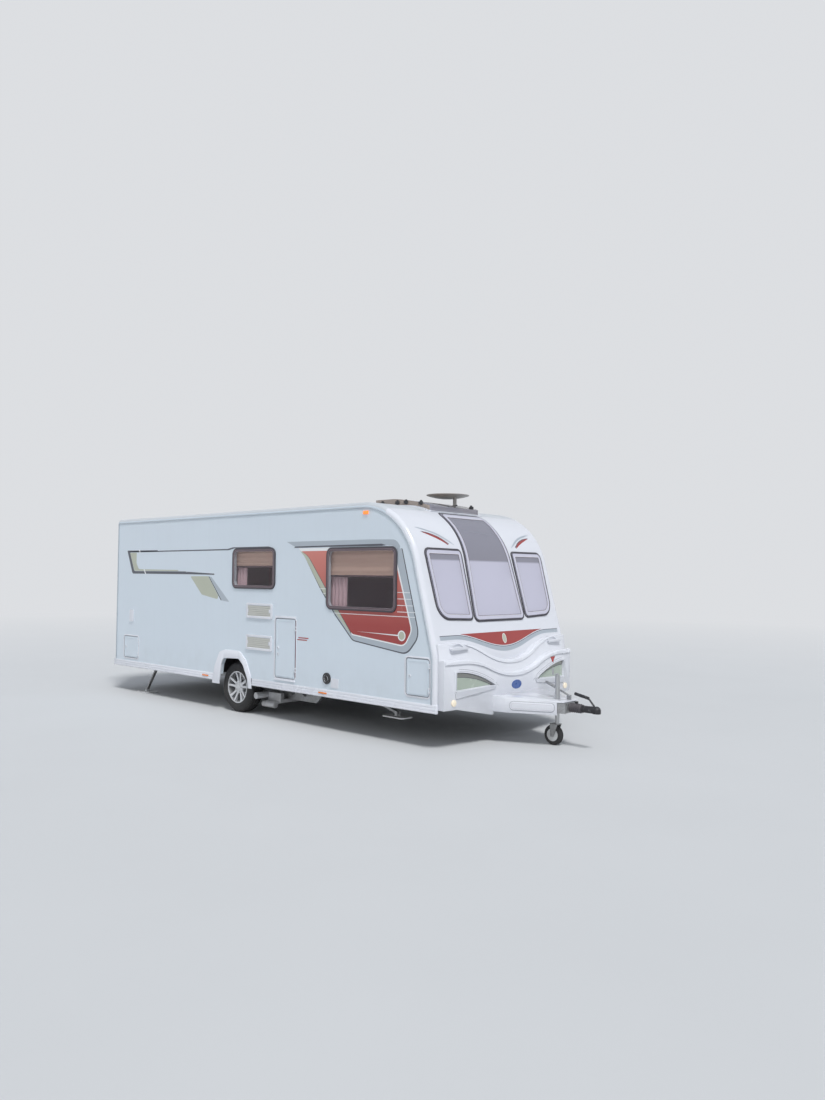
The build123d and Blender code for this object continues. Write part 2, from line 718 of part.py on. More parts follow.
def wall_covers():
    covers = []
    for side, rear_x, front_x, sill_z, head_z, stand in WALL_COVERS:
        cover = window_prism(side, rear_x, front_x, sill_z, head_z, 10, HALF, HALF + stand)
        covers += cover.solids()
    return covers


def wall_fittings():
    return Compound(fridge_vents() + flue() + wall_covers())


# Rear bumper and lamps
BUMPER_TOP_Z = 600
BUMPER_BREAK_Z = 560
BUMPER_LEDGE = 18
BUMPER_BOTTOM_Z = 365


def rear_bumper():
    section = rounded_polygon(
        [
            (0, BUMPER_BOTTOM_Z),
            (0, BUMPER_TOP_Z),
            (-BUMPER_LEDGE, BUMPER_TOP_Z),
            (-BUMPER_PROUD, BUMPER_BREAK_Z),
            (-BUMPER_PROUD, BUMPER_BOTTOM_Z),
        ],
        [0, 0, 8, 20, 10],
    )
    return prism_xz(section, -(HALF - EDGE_RADIUS), HALF - EDGE_RADIUS)


REAR_LAMP_INSET = 65
REAR_LAMP_WIDTH = 160
REAR_LAMP_LOW_Z = 640
REAR_LAMP_TOP_Z = 1180
REAR_LAMP_CORNER = 40
REAR_LAMP_PROUD = 24
HIGH_LAMP_HALF_WIDTH = 160
HIGH_LAMP_HEIGHT = 25
HIGH_LAMP_DROP = 170
HIGH_LAMP_PROUD = 14


def rear_lamps():
    outer_y = HALF - REAR_LAMP_INSET
    outline = rounded_rectangle(
        outer_y - REAR_LAMP_WIDTH, outer_y, REAR_LAMP_LOW_Z, REAR_LAMP_TOP_Z, REAR_LAMP_CORNER,
    )
    lamp = prism_yz(outline, -REAR_LAMP_PROUD, 0)
    low_z = ROOF_Z - HIGH_LAMP_DROP
    strip = rounded_rectangle(
        -HIGH_LAMP_HALF_WIDTH, HIGH_LAMP_HALF_WIDTH, low_z, low_z + HIGH_LAMP_HEIGHT, HIGH_LAMP_HEIGHT / 3,
    )
    high = prism_yz(strip, -HIGH_LAMP_PROUD, 0)
    return Compound(lamp.solids() + mirror(lamp, about=Plane.XZ).solids() + high.solids())


# Marker lamps in the skirts: rear x, front x
SKIRT_MARKERS = [(2215, 2345), (4412, 4542)]
MARKER_PROUD = 8
MARKER_HALF_HEIGHT = 9


def skirt_markers():
    solids = []
    z = (WALL_BOTTOM_Z + SKIRT_BOTTOM_Z) / 2
    base_y = HALF + SKIRT_PROUD
    for rear_x, front_x in SKIRT_MARKERS:
        low_z = z - MARKER_HALF_HEIGHT
        lamp = box(rear_x, front_x, base_y, base_y + MARKER_PROUD, low_z, low_z + 2 * MARKER_HALF_HEIGHT)
        solids += lamp.solids() + mirror(lamp, about=Plane.XZ).solids()
    return solids


FRONT_MARKER_INSET = 150
FRONT_MARKER_Z = 455
FRONT_MARKER_RADIUS = 32
FRONT_MARKER_PROUD = 14
TOP_MARKER_X = BROW_START_X + 53
TOP_MARKER_DROP = 112
TOP_MARKER_LENGTH = 70
TOP_MARKER_HEIGHT = 34
TOP_MARKER_PROUD = 14


def front_markers():
    y = HALF - FRONT_MARKER_INSET
    disc_x = MOULDING_NOSE_X - MOULDING_BOW * (y / MOULDING_HALF_WIDTH) ** 2
    lamp = cylinder_x(y, FRONT_MARKER_Z, FRONT_MARKER_RADIUS, disc_x - 10, disc_x + FRONT_MARKER_PROUD)
    lamp -= front_moulding()
    top = Pos(TOP_MARKER_X, HALF + TOP_MARKER_PROUD / 2, ROOF_Z - TOP_MARKER_DROP) * Box(
        TOP_MARKER_LENGTH, TOP_MARKER_PROUD, TOP_MARKER_HEIGHT
    )
    return both_sides(lamp).solids() + both_sides(top).solids()


def marker_lamps():
    return Compound(skirt_markers() + front_markers())


# Grab handles
FRONT_HANDLE_SETBACK = 40
FRONT_HANDLE_Z = GRIP_Z - 13
FRONT_HANDLE_SIZE = (44, 250, 26)
FRONT_HANDLE_ROUND = 10
REAR_HANDLE_Y = HALF - 295
REAR_HANDLE_LOW_Z = 900
REAR_HANDLE_TOP_Z = 1120
REAR_HANDLE_RADIUS = 9
REAR_HANDLE_STAND = 20
REAR_HANDLE_FOOT = 8


def front_grab_handles():
    bar = Pos(MOULDING_STEP_X - FRONT_HANDLE_SETBACK, GRIP_Y, FRONT_HANDLE_Z) * Box(*FRONT_HANDLE_SIZE)
    bar = fillet(bar.edges().filter_by(Axis.X), FRONT_HANDLE_ROUND)
    return both_sides(bar - prism_xz(OUTLINE, -BIG, BIG) - front_moulding()).solids()


def rear_grab_handles():
    x, y, radius, foot = -REAR_HANDLE_STAND, REAR_HANDLE_Y, REAR_HANDLE_RADIUS, REAR_HANDLE_FOOT
    bar = cylinder_z(x, y, radius, REAR_HANDLE_LOW_Z, REAR_HANDLE_TOP_Z)
    for z in (REAR_HANDLE_LOW_Z + foot, REAR_HANDLE_TOP_Z - foot):
        bar += box(x, 0, y - radius, y + radius, z - foot, z + foot)
    return both_sides(bar).solids()


def grab_handles():
    return Compound(front_grab_handles() + rear_grab_handles())


# Awning rails follow each wall's edge
AWNING_RAIL_INSET = 50
AWNING_RAIL_WIDTH = 14
AWNING_RAIL_PROUD = 8


def awning_rails():
    outer = open_below(offset(OUTLINE, amount=-AWNING_RAIL_INSET, kind=Kind.INTERSECTION), AWNING_RAIL_INSET)
    inset = AWNING_RAIL_INSET + AWNING_RAIL_WIDTH
    inner = open_below(offset(OUTLINE, amount=-inset, kind=Kind.INTERSECTION), inset)
    band = prism_xz(outer, HALF, HALF + AWNING_RAIL_PROUD) - prism_xz(inner, 0, BIG)
    return both_sides(band & box(0, BIG, 0, BIG, WALL_BOTTOM_Z, BIG))


# Roof fittings
ROOFLIGHT_REAR_X = 4520
ROOFLIGHT_FRONT_X = 5370
ROOFLIGHT_HALF_WIDTH = 430
ROOFLIGHT_CORNER = 50
ROOFLIGHT_TOP_Z = 2514
ROOFLIGHT_CREST = (4990, 2498)
ROOFLIGHT_FRONT_Z = 2416
SMALL_LIGHT_X = 2900
SMALL_LIGHT_SIZE = 400


def rooflights():
    reach = ROOFLIGHT_HALF_WIDTH
    big = rounded_rectangle(ROOFLIGHT_REAR_X, ROOFLIGHT_FRONT_X, -reach, reach, ROOFLIGHT_CORNER)
    dome = prism_xy(big, ROOF_Z - 90, ROOFLIGHT_TOP_Z)
    rear_top = (ROOFLIGHT_REAR_X - 1, ROOFLIGHT_TOP_Z)
    front_top = (ROOFLIGHT_FRONT_X + 1, ROOFLIGHT_FRONT_Z)
    rear_foot = (ROOFLIGHT_REAR_X - 1, ROOF_Z - 90)
    front_foot = (ROOFLIGHT_FRONT_X + 1, ROOF_Z - 90)
    wedge = make_face([
        ThreePointArc(rear_top, ROOFLIGHT_CREST, front_top),
        Line(front_top, front_foot),
        Line(front_foot, rear_foot),
        Line(rear_foot, rear_top),
    ])
    dome = dome & prism_xz(wedge, -BIG, BIG)
    half = SMALL_LIGHT_SIZE / 2
    small = rounded_rectangle(SMALL_LIGHT_X - half, SMALL_LIGHT_X + half, -half, half, 40)
    hatch = prism_xy(small, ROOF_Z, ROOF_Z + CROWN_HEIGHT + 55)
    covers = (dome - BLOCK - roof_crown()).solids() + (hatch - BLOCK - roof_crown()).solids()
    return Compound(covers)


DISH_X = 4830
DISH_Y = 500
DISH_MAST_X = 4940
DISH_RADIUS = 255
DISH_STAND = 210
DISH_DEPTH = 48
DISH_RIM = 8
DISH_BASE_RADIUS = 62
DISH_BASE_HEIGHT = 20
DISH_MAST_RADIUS = 22


def satellite_dish():
    top_z = ROOF_Z + DISH_STAND
    rim_z = top_z - DISH_RIM
    back_z = top_z - DISH_DEPTH
    sag = rim_z - back_z
    bowl_radius = (DISH_RADIUS ** 2 + sag ** 2) / (2 * sag)
    bowl = Pos(DISH_X, DISH_Y, back_z + bowl_radius) * Sphere(bowl_radius)
    unit = bowl & cylinder_z(DISH_X, DISH_Y, DISH_RADIUS, back_z - 1, rim_z)
    unit += cylinder_z(DISH_X, DISH_Y, DISH_RADIUS, rim_z, top_z)
    unit += cylinder_z(DISH_MAST_X, DISH_Y, DISH_MAST_RADIUS, ROOF_Z, rim_z - DISH_RIM)
    base_top_z = ROOF_Z + CROWN_HEIGHT + DISH_BASE_HEIGHT
    unit += cylinder_z(DISH_MAST_X, DISH_Y, DISH_BASE_RADIUS, ROOF_Z, base_top_z)
    return unit - BLOCK - roof_crown()


# Chassis
AXLE_X = WHEEL_X + AXLE_ARM_LENGTH
AXLE_Z = WHEEL_RADIUS + 12
RAIL_HOLES = [(2560, 380, 34), (2760, 380, 34), (3300, 300, 55), (3520, 300, 55), (3740, 300, 55)]


def chassis_rails():
    taper = RAIL_SHALLOW_Z - RAIL_DEEP_Z
    profile = [
        (RAIL_REAR_X, WALL_BOTTOM_Z),
        (RAIL_REAR_X, RAIL_SHALLOW_Z),
        (RAIL_DEEP_REAR_X - taper, RAIL_SHALLOW_Z),
        (RAIL_DEEP_REAR_X, RAIL_DEEP_Z),
        (RAIL_DEEP_FRONT_X, RAIL_DEEP_Z),
        (RAIL_DEEP_FRONT_X + taper, RAIL_SHALLOW_Z),
        (RAIL_FRONT_X, RAIL_SHALLOW_Z),
        (RAIL_FRONT_X, WALL_BOTTOM_Z),
    ]
    face = make_face(Polyline(*profile, close=True))
    inner = make_face(Polyline(*[
        (RAIL_REAR_X - 1, WALL_BOTTOM_Z - RAIL_THICK),
        (RAIL_REAR_X - 1, RAIL_SHALLOW_Z + RAIL_THICK),
        (RAIL_DEEP_REAR_X - taper + 2, RAIL_SHALLOW_Z + RAIL_THICK),
        (RAIL_DEEP_REAR_X + 2, RAIL_DEEP_Z + RAIL_THICK),
        (RAIL_DEEP_FRONT_X - 2, RAIL_DEEP_Z + RAIL_THICK),
        (RAIL_DEEP_FRONT_X + taper - 2, RAIL_SHALLOW_Z + RAIL_THICK),
        (RAIL_FRONT_X + 1, RAIL_SHALLOW_Z + RAIL_THICK),
        (RAIL_FRONT_X + 1, WALL_BOTTOM_Z - RAIL_THICK),
    ], close=True))
    rail = prism_xz(face, RAIL_Y - RAIL_FLANGE, RAIL_Y)
    rail -= prism_xz(inner, RAIL_Y - RAIL_FLANGE - 1, RAIL_Y - RAIL_THICK)
    rail -= cylinder_y(AXLE_X, AXLE_Z, AXLE_TUBE_RADIUS + BEARING_CLEARANCE, 0, RAIL_Y + 1)
    for x, z, radius in RAIL_HOLES:
        rail -= cylinder_y(x, z, radius, RAIL_Y - RAIL_THICK - 1, RAIL_Y + 1)
    return both_sides(rail)


CROSS_MEMBERS_X = (560, 1900, 4300)


def cross_members():
    solids = []
    reach = RAIL_Y - RAIL_THICK
    for x in CROSS_MEMBERS_X:
        bar = box(x - 25, x + 25, -reach, reach, RAIL_SHALLOW_Z + RAIL_THICK, WALL_BOTTOM_Z - RAIL_THICK)
        solids += bar.solids()
    return Compound(solids)


def drawbar_line(x):
    share = (x - DRAWBAR_REAR_X) / (DRAWBAR_FRONT_X - DRAWBAR_REAR_X)
    return DRAWBAR_REAR_Y + share * (DRAWBAR_FRONT_Y - DRAWBAR_REAR_Y)


def drawbar_legs():
    length = math.hypot(DRAWBAR_FRONT_X - DRAWBAR_REAR_X, DRAWBAR_FRONT_Y - DRAWBAR_REAR_Y)
    angle = math.degrees(math.atan2(DRAWBAR_FRONT_Y - DRAWBAR_REAR_Y, DRAWBAR_FRONT_X - DRAWBAR_REAR_X))
    beam = Box(length, DRAWBAR_WIDTH, DRAWBAR_DEPTH)
    beam -= Pos(0, -5, 0) * Box(length + 2, DRAWBAR_WIDTH, DRAWBAR_DEPTH - 10)
    middle_x = (DRAWBAR_FRONT_X + DRAWBAR_REAR_X) / 2
    place = Pos(middle_x, drawbar_line(middle_x), WALL_BOTTOM_Z - DRAWBAR_DEPTH / 2) * Rot(0, 0, angle)
    return both_sides(place * beam)


HEAD_LENGTH = 100
HEAD_REAR_X = DRAWBAR_FRONT_X - HEAD_LENGTH


def drawbar_head():
    slope = math.atan2(DRAWBAR_REAR_Y - DRAWBAR_FRONT_Y, DRAWBAR_FRONT_X - DRAWBAR_REAR_X)
    inset = DRAWBAR_WIDTH / 2 / math.cos(slope)
    rear_y = drawbar_line(HEAD_REAR_X) - inset
    front_y = drawbar_line(DRAWBAR_FRONT_X - 6) - inset
    plan = make_face(Polyline(
        (HEAD_REAR_X, -rear_y),
        (DRAWBAR_FRONT_X - 6, -front_y),
        (DRAWBAR_FRONT_X - 6, front_y),
        (HEAD_REAR_X, rear_y),
        close=True,
    ))
    return prism_xy(plan, WALL_BOTTOM_Z - DRAWBAR_DEPTH, WALL_BOTTOM_Z)


# Drawbar cover
COVER_REAR_HALF = 440
COVER_SHOULDER_HALF = 372
COVER_SHOULDER_AHEAD = 252
COVER_FRONT_HALF = 128
COVER_SETBACK = 8
COVER_FRONT_X = DRAWBAR_FRONT_X - COVER_SETBACK
COVER_REAR_TOP_Z = 482
COVER_FRONT_TOP_Z = 456
COVER_BOTTOM_Z = 322
COVER_THICK = 5
COVER_PANEL = (300, 690, 352, 432)  # from the nose, heights
COVER_PANEL_CORNER = 30
COVER_PANEL_PROUD = 6
LEVER_SETBACK = 45
LEVER_WIDTH = 45
LEVER_X1 = DRAWBAR_FRONT_X - LEVER_SETBACK
LEVER_X0 = LEVER_X1 - LEVER_WIDTH
LEVER_Y0 = 60
LEVER_Y1 = 72
LEVER_SLOT_GAP = 5
LEVER_ROOT = 60
LEVER_REACH = 130
LEVER_RISE = 120
LEVER_RADIUS = 9
GRIP_REACH = 120
GRIP_RISE = 45
GRIP_RADIUS = 14


def cover_block(inset):
    rear_x = NOSE_X - 40
    shoulder_x = NOSE_X + COVER_SHOULDER_AHEAD
    plan = rounded_polygon(
        [
            (rear_x, -COVER_REAR_HALF + inset),
            (shoulder_x, -COVER_SHOULDER_HALF + inset),
            (COVER_FRONT_X - inset, -COVER_FRONT_HALF + inset),
            (COVER_FRONT_X - inset, COVER_FRONT_HALF - inset),
            (shoulder_x, COVER_SHOULDER_HALF - inset),
            (rear_x, COVER_REAR_HALF - inset),
        ],
        [0, 60, 25, 25, 60, 0],
    )
    side = make_face(Polyline(
        (rear_x, COVER_BOTTOM_Z - 2 * inset),
        (rear_x, COVER_REAR_TOP_Z - inset),
        (COVER_FRONT_X + 1, COVER_FRONT_TOP_Z - inset),
        (COVER_FRONT_X + 1, COVER_BOTTOM_Z - 2 * inset),
        close=True,
    ))
    return prism_xy(plan, COVER_BOTTOM_Z - 2 * inset, BIG / 10) & prism_xz(side, -BIG, BIG)


def drawbar_cover():
    shell = cover_block(0) - cover_block(COVER_THICK)
    rear, front, low, top = COVER_PANEL
    panel = rounded_rectangle(NOSE_X + rear, NOSE_X + front, low, top, COVER_PANEL_CORNER)
    shell += (cover_block(-COVER_PANEL_PROUD) - cover_block(0)) & prism_xz(panel, -BIG, BIG)
    shell -= front_moulding()
    shell -= box(-BIG, NOSE_X + 60, -BIG, BIG, 0, BIG)
    shell -= cylinder_z(JOCKEY_X, 0, JOCKEY_TUBE_RADIUS + 8, 0, BIG)
    shell -= box(COVER_FRONT_X - 60, COVER_FRONT_X + 5, -BIG, BIG, 0, WALL_BOTTOM_Z + 4)
    lever_y = (LEVER_Y0 - LEVER_SLOT_GAP, LEVER_Y1 + LEVER_SLOT_GAP)
    return shell - box(LEVER_X0 - LEVER_SLOT_GAP, LEVER_X1 + LEVER_SLOT_GAP, *lever_y, WALL_BOTTOM_Z, BIG)


# Coupling
CUP_X = COUPLING_TIP_X - CUP_RADIUS - CUP_WALL
SHAFT_RADIUS = 24
BELLOWS_RIBS = 6
BELLOWS_REAR_X = DRAWBAR_FRONT_X - 6
BELLOWS_FRONT_X = COUPLING_TIP_X - COUPLING_NECK


def overrun_bellows():
    pitch = (BELLOWS_FRONT_X - BELLOWS_REAR_X) / (2 * BELLOWS_RIBS)
    points = [(BELLOWS_REAR_X, SHAFT_RADIUS), (BELLOWS_REAR_X, 44)]
    for index in range(1, 2 * BELLOWS_RIBS):
        points.append((BELLOWS_REAR_X + index * pitch, 34 if index % 2 else 46))
    points += [(BELLOWS_FRONT_X, 40), (BELLOWS_FRONT_X, SHAFT_RADIUS)]
    ring = revolve(make_face(Polyline(*points, close=True)), axis=Axis.X)
    return Pos(0, 0, COUPLING_Z) * ring


def coupling_head():
    outer = CUP_RADIUS + CUP_WALL
    head = cylinder_z(CUP_X, 0, outer, COUPLING_Z - CUP_DEPTH, COUPLING_Z)
    head += Pos(CUP_X, 0, COUPLING_Z) * Sphere(outer)
    neck = loft([
        Plane.YZ.offset(BELLOWS_FRONT_X) * Pos(0, COUPLING_Z) * Circle(34),
        Plane.YZ.offset(CUP_X - 10) * Pos(0, COUPLING_Z) * Circle(outer - 4),
    ])
    head += neck & box(0, BIG, -BIG, BIG, COUPLING_Z - CUP_DEPTH, BIG)
    head += cylinder_x(0, COUPLING_Z, SHAFT_RADIUS, BELLOWS_REAR_X, BELLOWS_FRONT_X + 30)
    head += bar_between((CUP_X - 20, 0, COUPLING_Z + 30), (CUP_X - 90, 0, COUPLING_Z + 110), 9)
    head += bar_between((CUP_X - 86, 0, COUPLING_Z + 108), (CUP_X - 240, 0, COUPLING_Z + 140), 15)
    head -= Pos(CUP_X, 0, COUPLING_Z) * Sphere(CUP_RADIUS)
    return head - cylinder_z(CUP_X, 0, CUP_RADIUS, 0, COUPLING_Z)


def handbrake_lever():
    y = (LEVER_Y0 + LEVER_Y1) / 2
    lever = box(LEVER_X0, LEVER_X1, LEVER_Y0, LEVER_Y1, WALL_BOTTOM_Z, WALL_BOTTOM_Z + LEVER_ROOT)
    elbow = (LEVER_X0 - LEVER_REACH, y, WALL_BOTTOM_Z + LEVER_RISE)
    grip = (elbow[0] - GRIP_REACH, y, elbow[2] + GRIP_RISE)
    root = (LEVER_X1 - LEVER_RADIUS - 3, y, WALL_BOTTOM_Z + LEVER_ROOT - LEVER_RADIUS - 3)
    lever += bar_between(root, elbow, LEVER_RADIUS)
    return lever + bar_between(elbow, grip, GRIP_RADIUS)


# Jockey wheel
JOCKEY_INNER_LOW_Z = 213
JOCKEY_SPIGOT = 40
JOCKEY_STEM_RADIUS = 9
JOCKEY_TUBE_LOW_Z = JOCKEY_INNER_LOW_Z + JOCKEY_SPIGOT + JOCKEY_LIFT + 12
JOCKEY_TUBE_TOP_Z = 690
FORK_CROWN = 7


def jockey_tube():
    tube = cylinder_z(JOCKEY_X, 0, JOCKEY_TUBE_RADIUS, JOCKEY_TUBE_LOW_Z, JOCKEY_TUBE_TOP_Z)
    bore = JOCKEY_TUBE_RADIUS - JOCKEY_TUBE_WALL
    tube -= cylinder_z(JOCKEY_X, 0, bore, JOCKEY_TUBE_LOW_Z - 1, JOCKEY_TUBE_TOP_Z - 8)
    slope = math.atan2(DRAWBAR_REAR_Y - DRAWBAR_FRONT_Y, DRAWBAR_FRONT_X - DRAWBAR_REAR_X)
    inset = DRAWBAR_WIDTH / 2 / math.cos(slope)
    rear_x = JOCKEY_X - 30
    front_x = JOCKEY_X + 30
    rear_y = drawbar_line(rear_x) - inset
    front_y = drawbar_line(front_x) - inset
    plan = make_face(Polyline(
        (rear_x, -rear_y), (front_x, -front_y), (front_x, front_y), (rear_x, rear_y), close=True,
    ))
    clamp = prism_xy(plan, WALL_BOTTOM_Z - 60, WALL_BOTTOM_Z - 4)
    clamp -= cylinder_z(JOCKEY_X, 0, JOCKEY_TUBE_RADIUS - 1, 0, BIG)
    top = JOCKEY_TUBE_TOP_Z
    crank = cylinder_z(JOCKEY_X, 0, 12, top - 2, top + 18)
    crank += box(JOCKEY_X - 8, JOCKEY_X + 8, -90, 8, top + 10, top + 18)
    return tube + clamp + crank + cylinder_z(JOCKEY_X, -84, 10, top + 10, top + 78)


def jockey_inner():
    radius = JOCKEY_TUBE_RADIUS - JOCKEY_TUBE_WALL - BEARING_CLEARANCE
    top = JOCKEY_TUBE_TOP_Z - 8 - JOCKEY_LIFT - 10
    inner = cylinder_z(JOCKEY_X, 0, radius, JOCKEY_INNER_LOW_Z, top)
    stem_top = JOCKEY_INNER_LOW_Z + JOCKEY_SPIGOT + 2
    return inner - cylinder_z(JOCKEY_X, 0, JOCKEY_STEM_RADIUS + BEARING_CLEARANCE, 0, stem_top)


def jockey_fork():
    crown_top = JOCKEY_INNER_LOW_Z - SEAT_GAP
    crown_low = crown_top - FORK_CROWN
    hub_x = JOCKEY_X - JOCKEY_TRAIL
    leg_y = JOCKEY_WHEEL_WIDTH / 2 + 5.5
    fork = cylinder_z(JOCKEY_X, 0, JOCKEY_STEM_RADIUS, crown_low, JOCKEY_INNER_LOW_Z + JOCKEY_SPIGOT)
    fork += box(hub_x - 24, JOCKEY_X + 26, -leg_y - 4, leg_y + 4, crown_low, crown_top)
    leg = make_face(Polyline(
        (hub_x - 24, crown_top), (JOCKEY_X + 26, crown_top),
        (hub_x + 18, JOCKEY_WHEEL_RADIUS - 16), (hub_x - 18, JOCKEY_WHEEL_RADIUS - 16), close=True,
    ))
    for y0, y1 in ((leg_y, leg_y + 4), (-leg_y - 4, -leg_y)):
        fork += prism_xz(leg, y0, y1)
    return fork + cylinder_y(hub_x, JOCKEY_WHEEL_RADIUS, 6, -leg_y - 8, leg_y + 8)


def jockey_wheel(outer, inner):
    half = JOCKEY_WHEEL_WIDTH / 2
    hub_x = JOCKEY_X - JOCKEY_TRAIL
    disc = cylinder_y(hub_x, JOCKEY_WHEEL_RADIUS, outer, -half, half)
    return disc - cylinder_y(hub_x, JOCKEY_WHEEL_RADIUS, inner, -half - 1, half + 1)


def jockey_tyre():
    tyre = jockey_wheel(JOCKEY_WHEEL_RADIUS, 62)
    rims = tyre.edges().filter_by(GeomType.CIRCLE).sort_by(SortBy.RADIUS)[-2:]
    return fillet(rims, 18)


def jockey_rim():
    return jockey_wheel(62, 6 + BEARING_CLEARANCE)


# Steadies
STEADY_PIVOT_Z = WALL_BOTTOM_Z - STEADY_PIVOT_DROP
DOWN_ANGLE = math.degrees(math.asin((STEADY_PIVOT_Z - STEADY_FOOT_PIN_Z) / STEADY_LEG_LENGTH))


def steady_leg(pivot_x, y, forward, droop_deg):
    leg = Pos(STEADY_LEG_LENGTH / 2, 0, 0) * Box(STEADY_LEG_LENGTH, STEADY_LEG_WIDTH, 22)
    leg -= Pos(STEADY_LEG_LENGTH / 2, 0, -6) * Box(STEADY_LEG_LENGTH - 60, STEADY_LEG_WIDTH - 8, 22)
    for x in (0, STEADY_LEG_LENGTH):
        leg += Pos(x, 0, 0) * Rot(90, 0, 0) * Cylinder(13, STEADY_LEG_WIDTH)
    leg -= Rot(90, 0, 0) * Cylinder(STEADY_PIN_RADIUS + BEARING_CLEARANCE, 2 * STEADY_LEG_WIDTH)
    pin_length = STEADY_LEG_WIDTH + 22
    leg += Pos(STEADY_LEG_LENGTH, 0, 0) * Rot(90, 0, 0) * Cylinder(STEADY_PIN_RADIUS, pin_length)
    turned = Rot(0, droop_deg, 0) * leg
    if not forward:
        turned = mirror(turned, about=Plane.YZ)
    return Pos(pivot_x, y, STEADY_PIVOT_Z) * turned


def steady_foot_centre(pivot_x, forward, droop_deg):
    reach = STEADY_LEG_LENGTH * math.cos(math.radians(droop_deg))
    drop = STEADY_LEG_LENGTH * math.sin(math.radians(droop_deg))
    return pivot_x + (reach if forward else -reach), STEADY_PIVOT_Z - drop


def steady_pad(pivot_x, y, forward, droop_deg):
    x, z = steady_foot_centre(pivot_x, forward, droop_deg)
    low = z - STEADY_FOOT_PIN_Z
    pad = Pos(x, y, low + PAD_THICK / 2) * Box(PAD_LENGTH, PAD_WIDTH, PAD_THICK)
    pad = fillet(pad.edges().filter_by(Axis.Z), 40)
    ear_y = STEADY_LEG_WIDTH / 2 + SEAT_GAP
    for y0, y1 in ((y + ear_y, y + ear_y + 8), (y - ear_y - 8, y - ear_y)):
        ear = cylinder_y(x, z, 16, y0, y1) + box(x - 16, x + 16, y0, y1, low + PAD_THICK / 2, z)
        pad += ear - cylinder_y(x, z, STEADY_PIN_RADIUS + BEARING_CLEARANCE, y0 - 1, y1 + 1)
    return pad


def steady_brackets():
    solids = []
    for pivot_x in (REAR_STEADY_X, FRONT_STEADY_X):
        for side in SIDES:
            y = side * STEADY_Y
            ear_y = STEADY_LEG_WIDTH / 2 + SEAT_GAP
            bracket = box(pivot_x - 40, pivot_x + 40, y - 60, y + 60, WALL_BOTTOM_Z - 6, WALL_BOTTOM_Z)
            for y0, y1 in ((y + ear_y, y + ear_y + 6), (y - ear_y - 6, y - ear_y)):
                bracket += box(pivot_x - 22, pivot_x + 22, y0, y1, STEADY_PIVOT_Z, WALL_BOTTOM_Z)
                bracket += cylinder_y(pivot_x, STEADY_PIVOT_Z, 22, y0, y1)
            bracket += cylinder_y(pivot_x, STEADY_PIVOT_Z, STEADY_PIN_RADIUS, y - ear_y - 6, y + ear_y + 6)
            solids += bracket.solids()
    return Compound(solids)


# Axle, hubs and wheels
ARM_Y0 = WHEEL_Y - 189
ARM_Y1 = WHEEL_Y - 149
STUB_END_Y = WHEEL_Y + 25
DRUM_Y0 = WHEEL_Y - 125
DRUM_Y1 = WHEEL_Y - 45


def axle():
    tube = cylinder_y(AXLE_X, AXLE_Z, AXLE_TUBE_RADIUS, -ARM_Y0, ARM_Y0)
    arm = cylinder_y(AXLE_X, AXLE_Z, 56, ARM_Y0, ARM_Y1)
    arm += cylinder_y(WHEEL_X, WHEEL_RADIUS, 38, ARM_Y0, ARM_Y1)
    web = make_face(Polyline(
        (AXLE_X, AXLE_Z + 50), (WHEEL_X, WHEEL_RADIUS + 34),
        (WHEEL_X, WHEEL_RADIUS - 34), (AXLE_X, AXLE_Z - 50), close=True,
    ))
    arm += prism_xz(web, ARM_Y0, ARM_Y1)
    arm += cylinder_y(WHEEL_X, WHEEL_RADIUS, DRUM_RADIUS - 4, ARM_Y1, ARM_Y1 + 6)
    arm += cylinder_y(WHEEL_X, WHEEL_RADIUS, STUB_RADIUS, ARM_Y1, STUB_END_Y)
    return tube + both_sides(arm)


def wheel_place(side):
    turn = Rot(-90, 0, 0) if side == NEARSIDE else Rot(90, 0, 0)
    return Pos(WHEEL_X, side * WHEEL_Y, WHEEL_RADIUS) * turn


TYRE_HALF = TYRE_WIDTH / 2
SEAT_HALF = TYRE_HALF - 11.5
BEAD_HALF = TYRE_HALF - 7.5
SHOULDER_HALF = TYRE_HALF - 15.5
TREAD_HALF = TYRE_HALF - 35.5
SHOULDER_RADIUS = WHEEL_RADIUS - 16
BULGE_RADIUS = FLANGE_RADIUS + 42


def tyre(side):
    bulge = (BULGE_RADIUS, TYRE_HALF - 0.5)
    half = [
        Line((RIM_RADIUS, 0), (RIM_RADIUS, SEAT_HALF)),
        Line((RIM_RADIUS, SEAT_HALF), (FLANGE_RADIUS, BEAD_HALF)),
        ThreePointArc((FLANGE_RADIUS, BEAD_HALF), bulge, (SHOULDER_RADIUS, SHOULDER_HALF)),
        TangentArc((WHEEL_RADIUS, TREAD_HALF), (SHOULDER_RADIUS, SHOULDER_HALF), tangent=(0, 1)),
        Line((WHEEL_RADIUS, TREAD_HALF), (WHEEL_RADIUS, 0)),
    ]
    section = make_face(half + [mirror(edge, about=Plane.XZ) for edge in half])
    return wheel_place(side) * revolve(Plane.XZ * section, axis=Axis.Z)


SPOKE_PAIRS = 5
SPOKE_SPREAD_DEG = 14
SPOKE_HUB_WIDTH = 30
SPOKE_RIM_WIDTH = 23
SPOKE_BACK = 44
HUB_FACE_RADIUS = 74
HUB_FACE = 62
RIM_FACE = SEAT_HALF
RIM_LIP = 12
BARREL_THICK = 7
CAP_RADIUS = 30
CAP_PROUD = 6
STUD_CIRCLE = 56
STUD_COUNT = 5
STUD_POCKET = 12
STUD_HEAD = 8.5


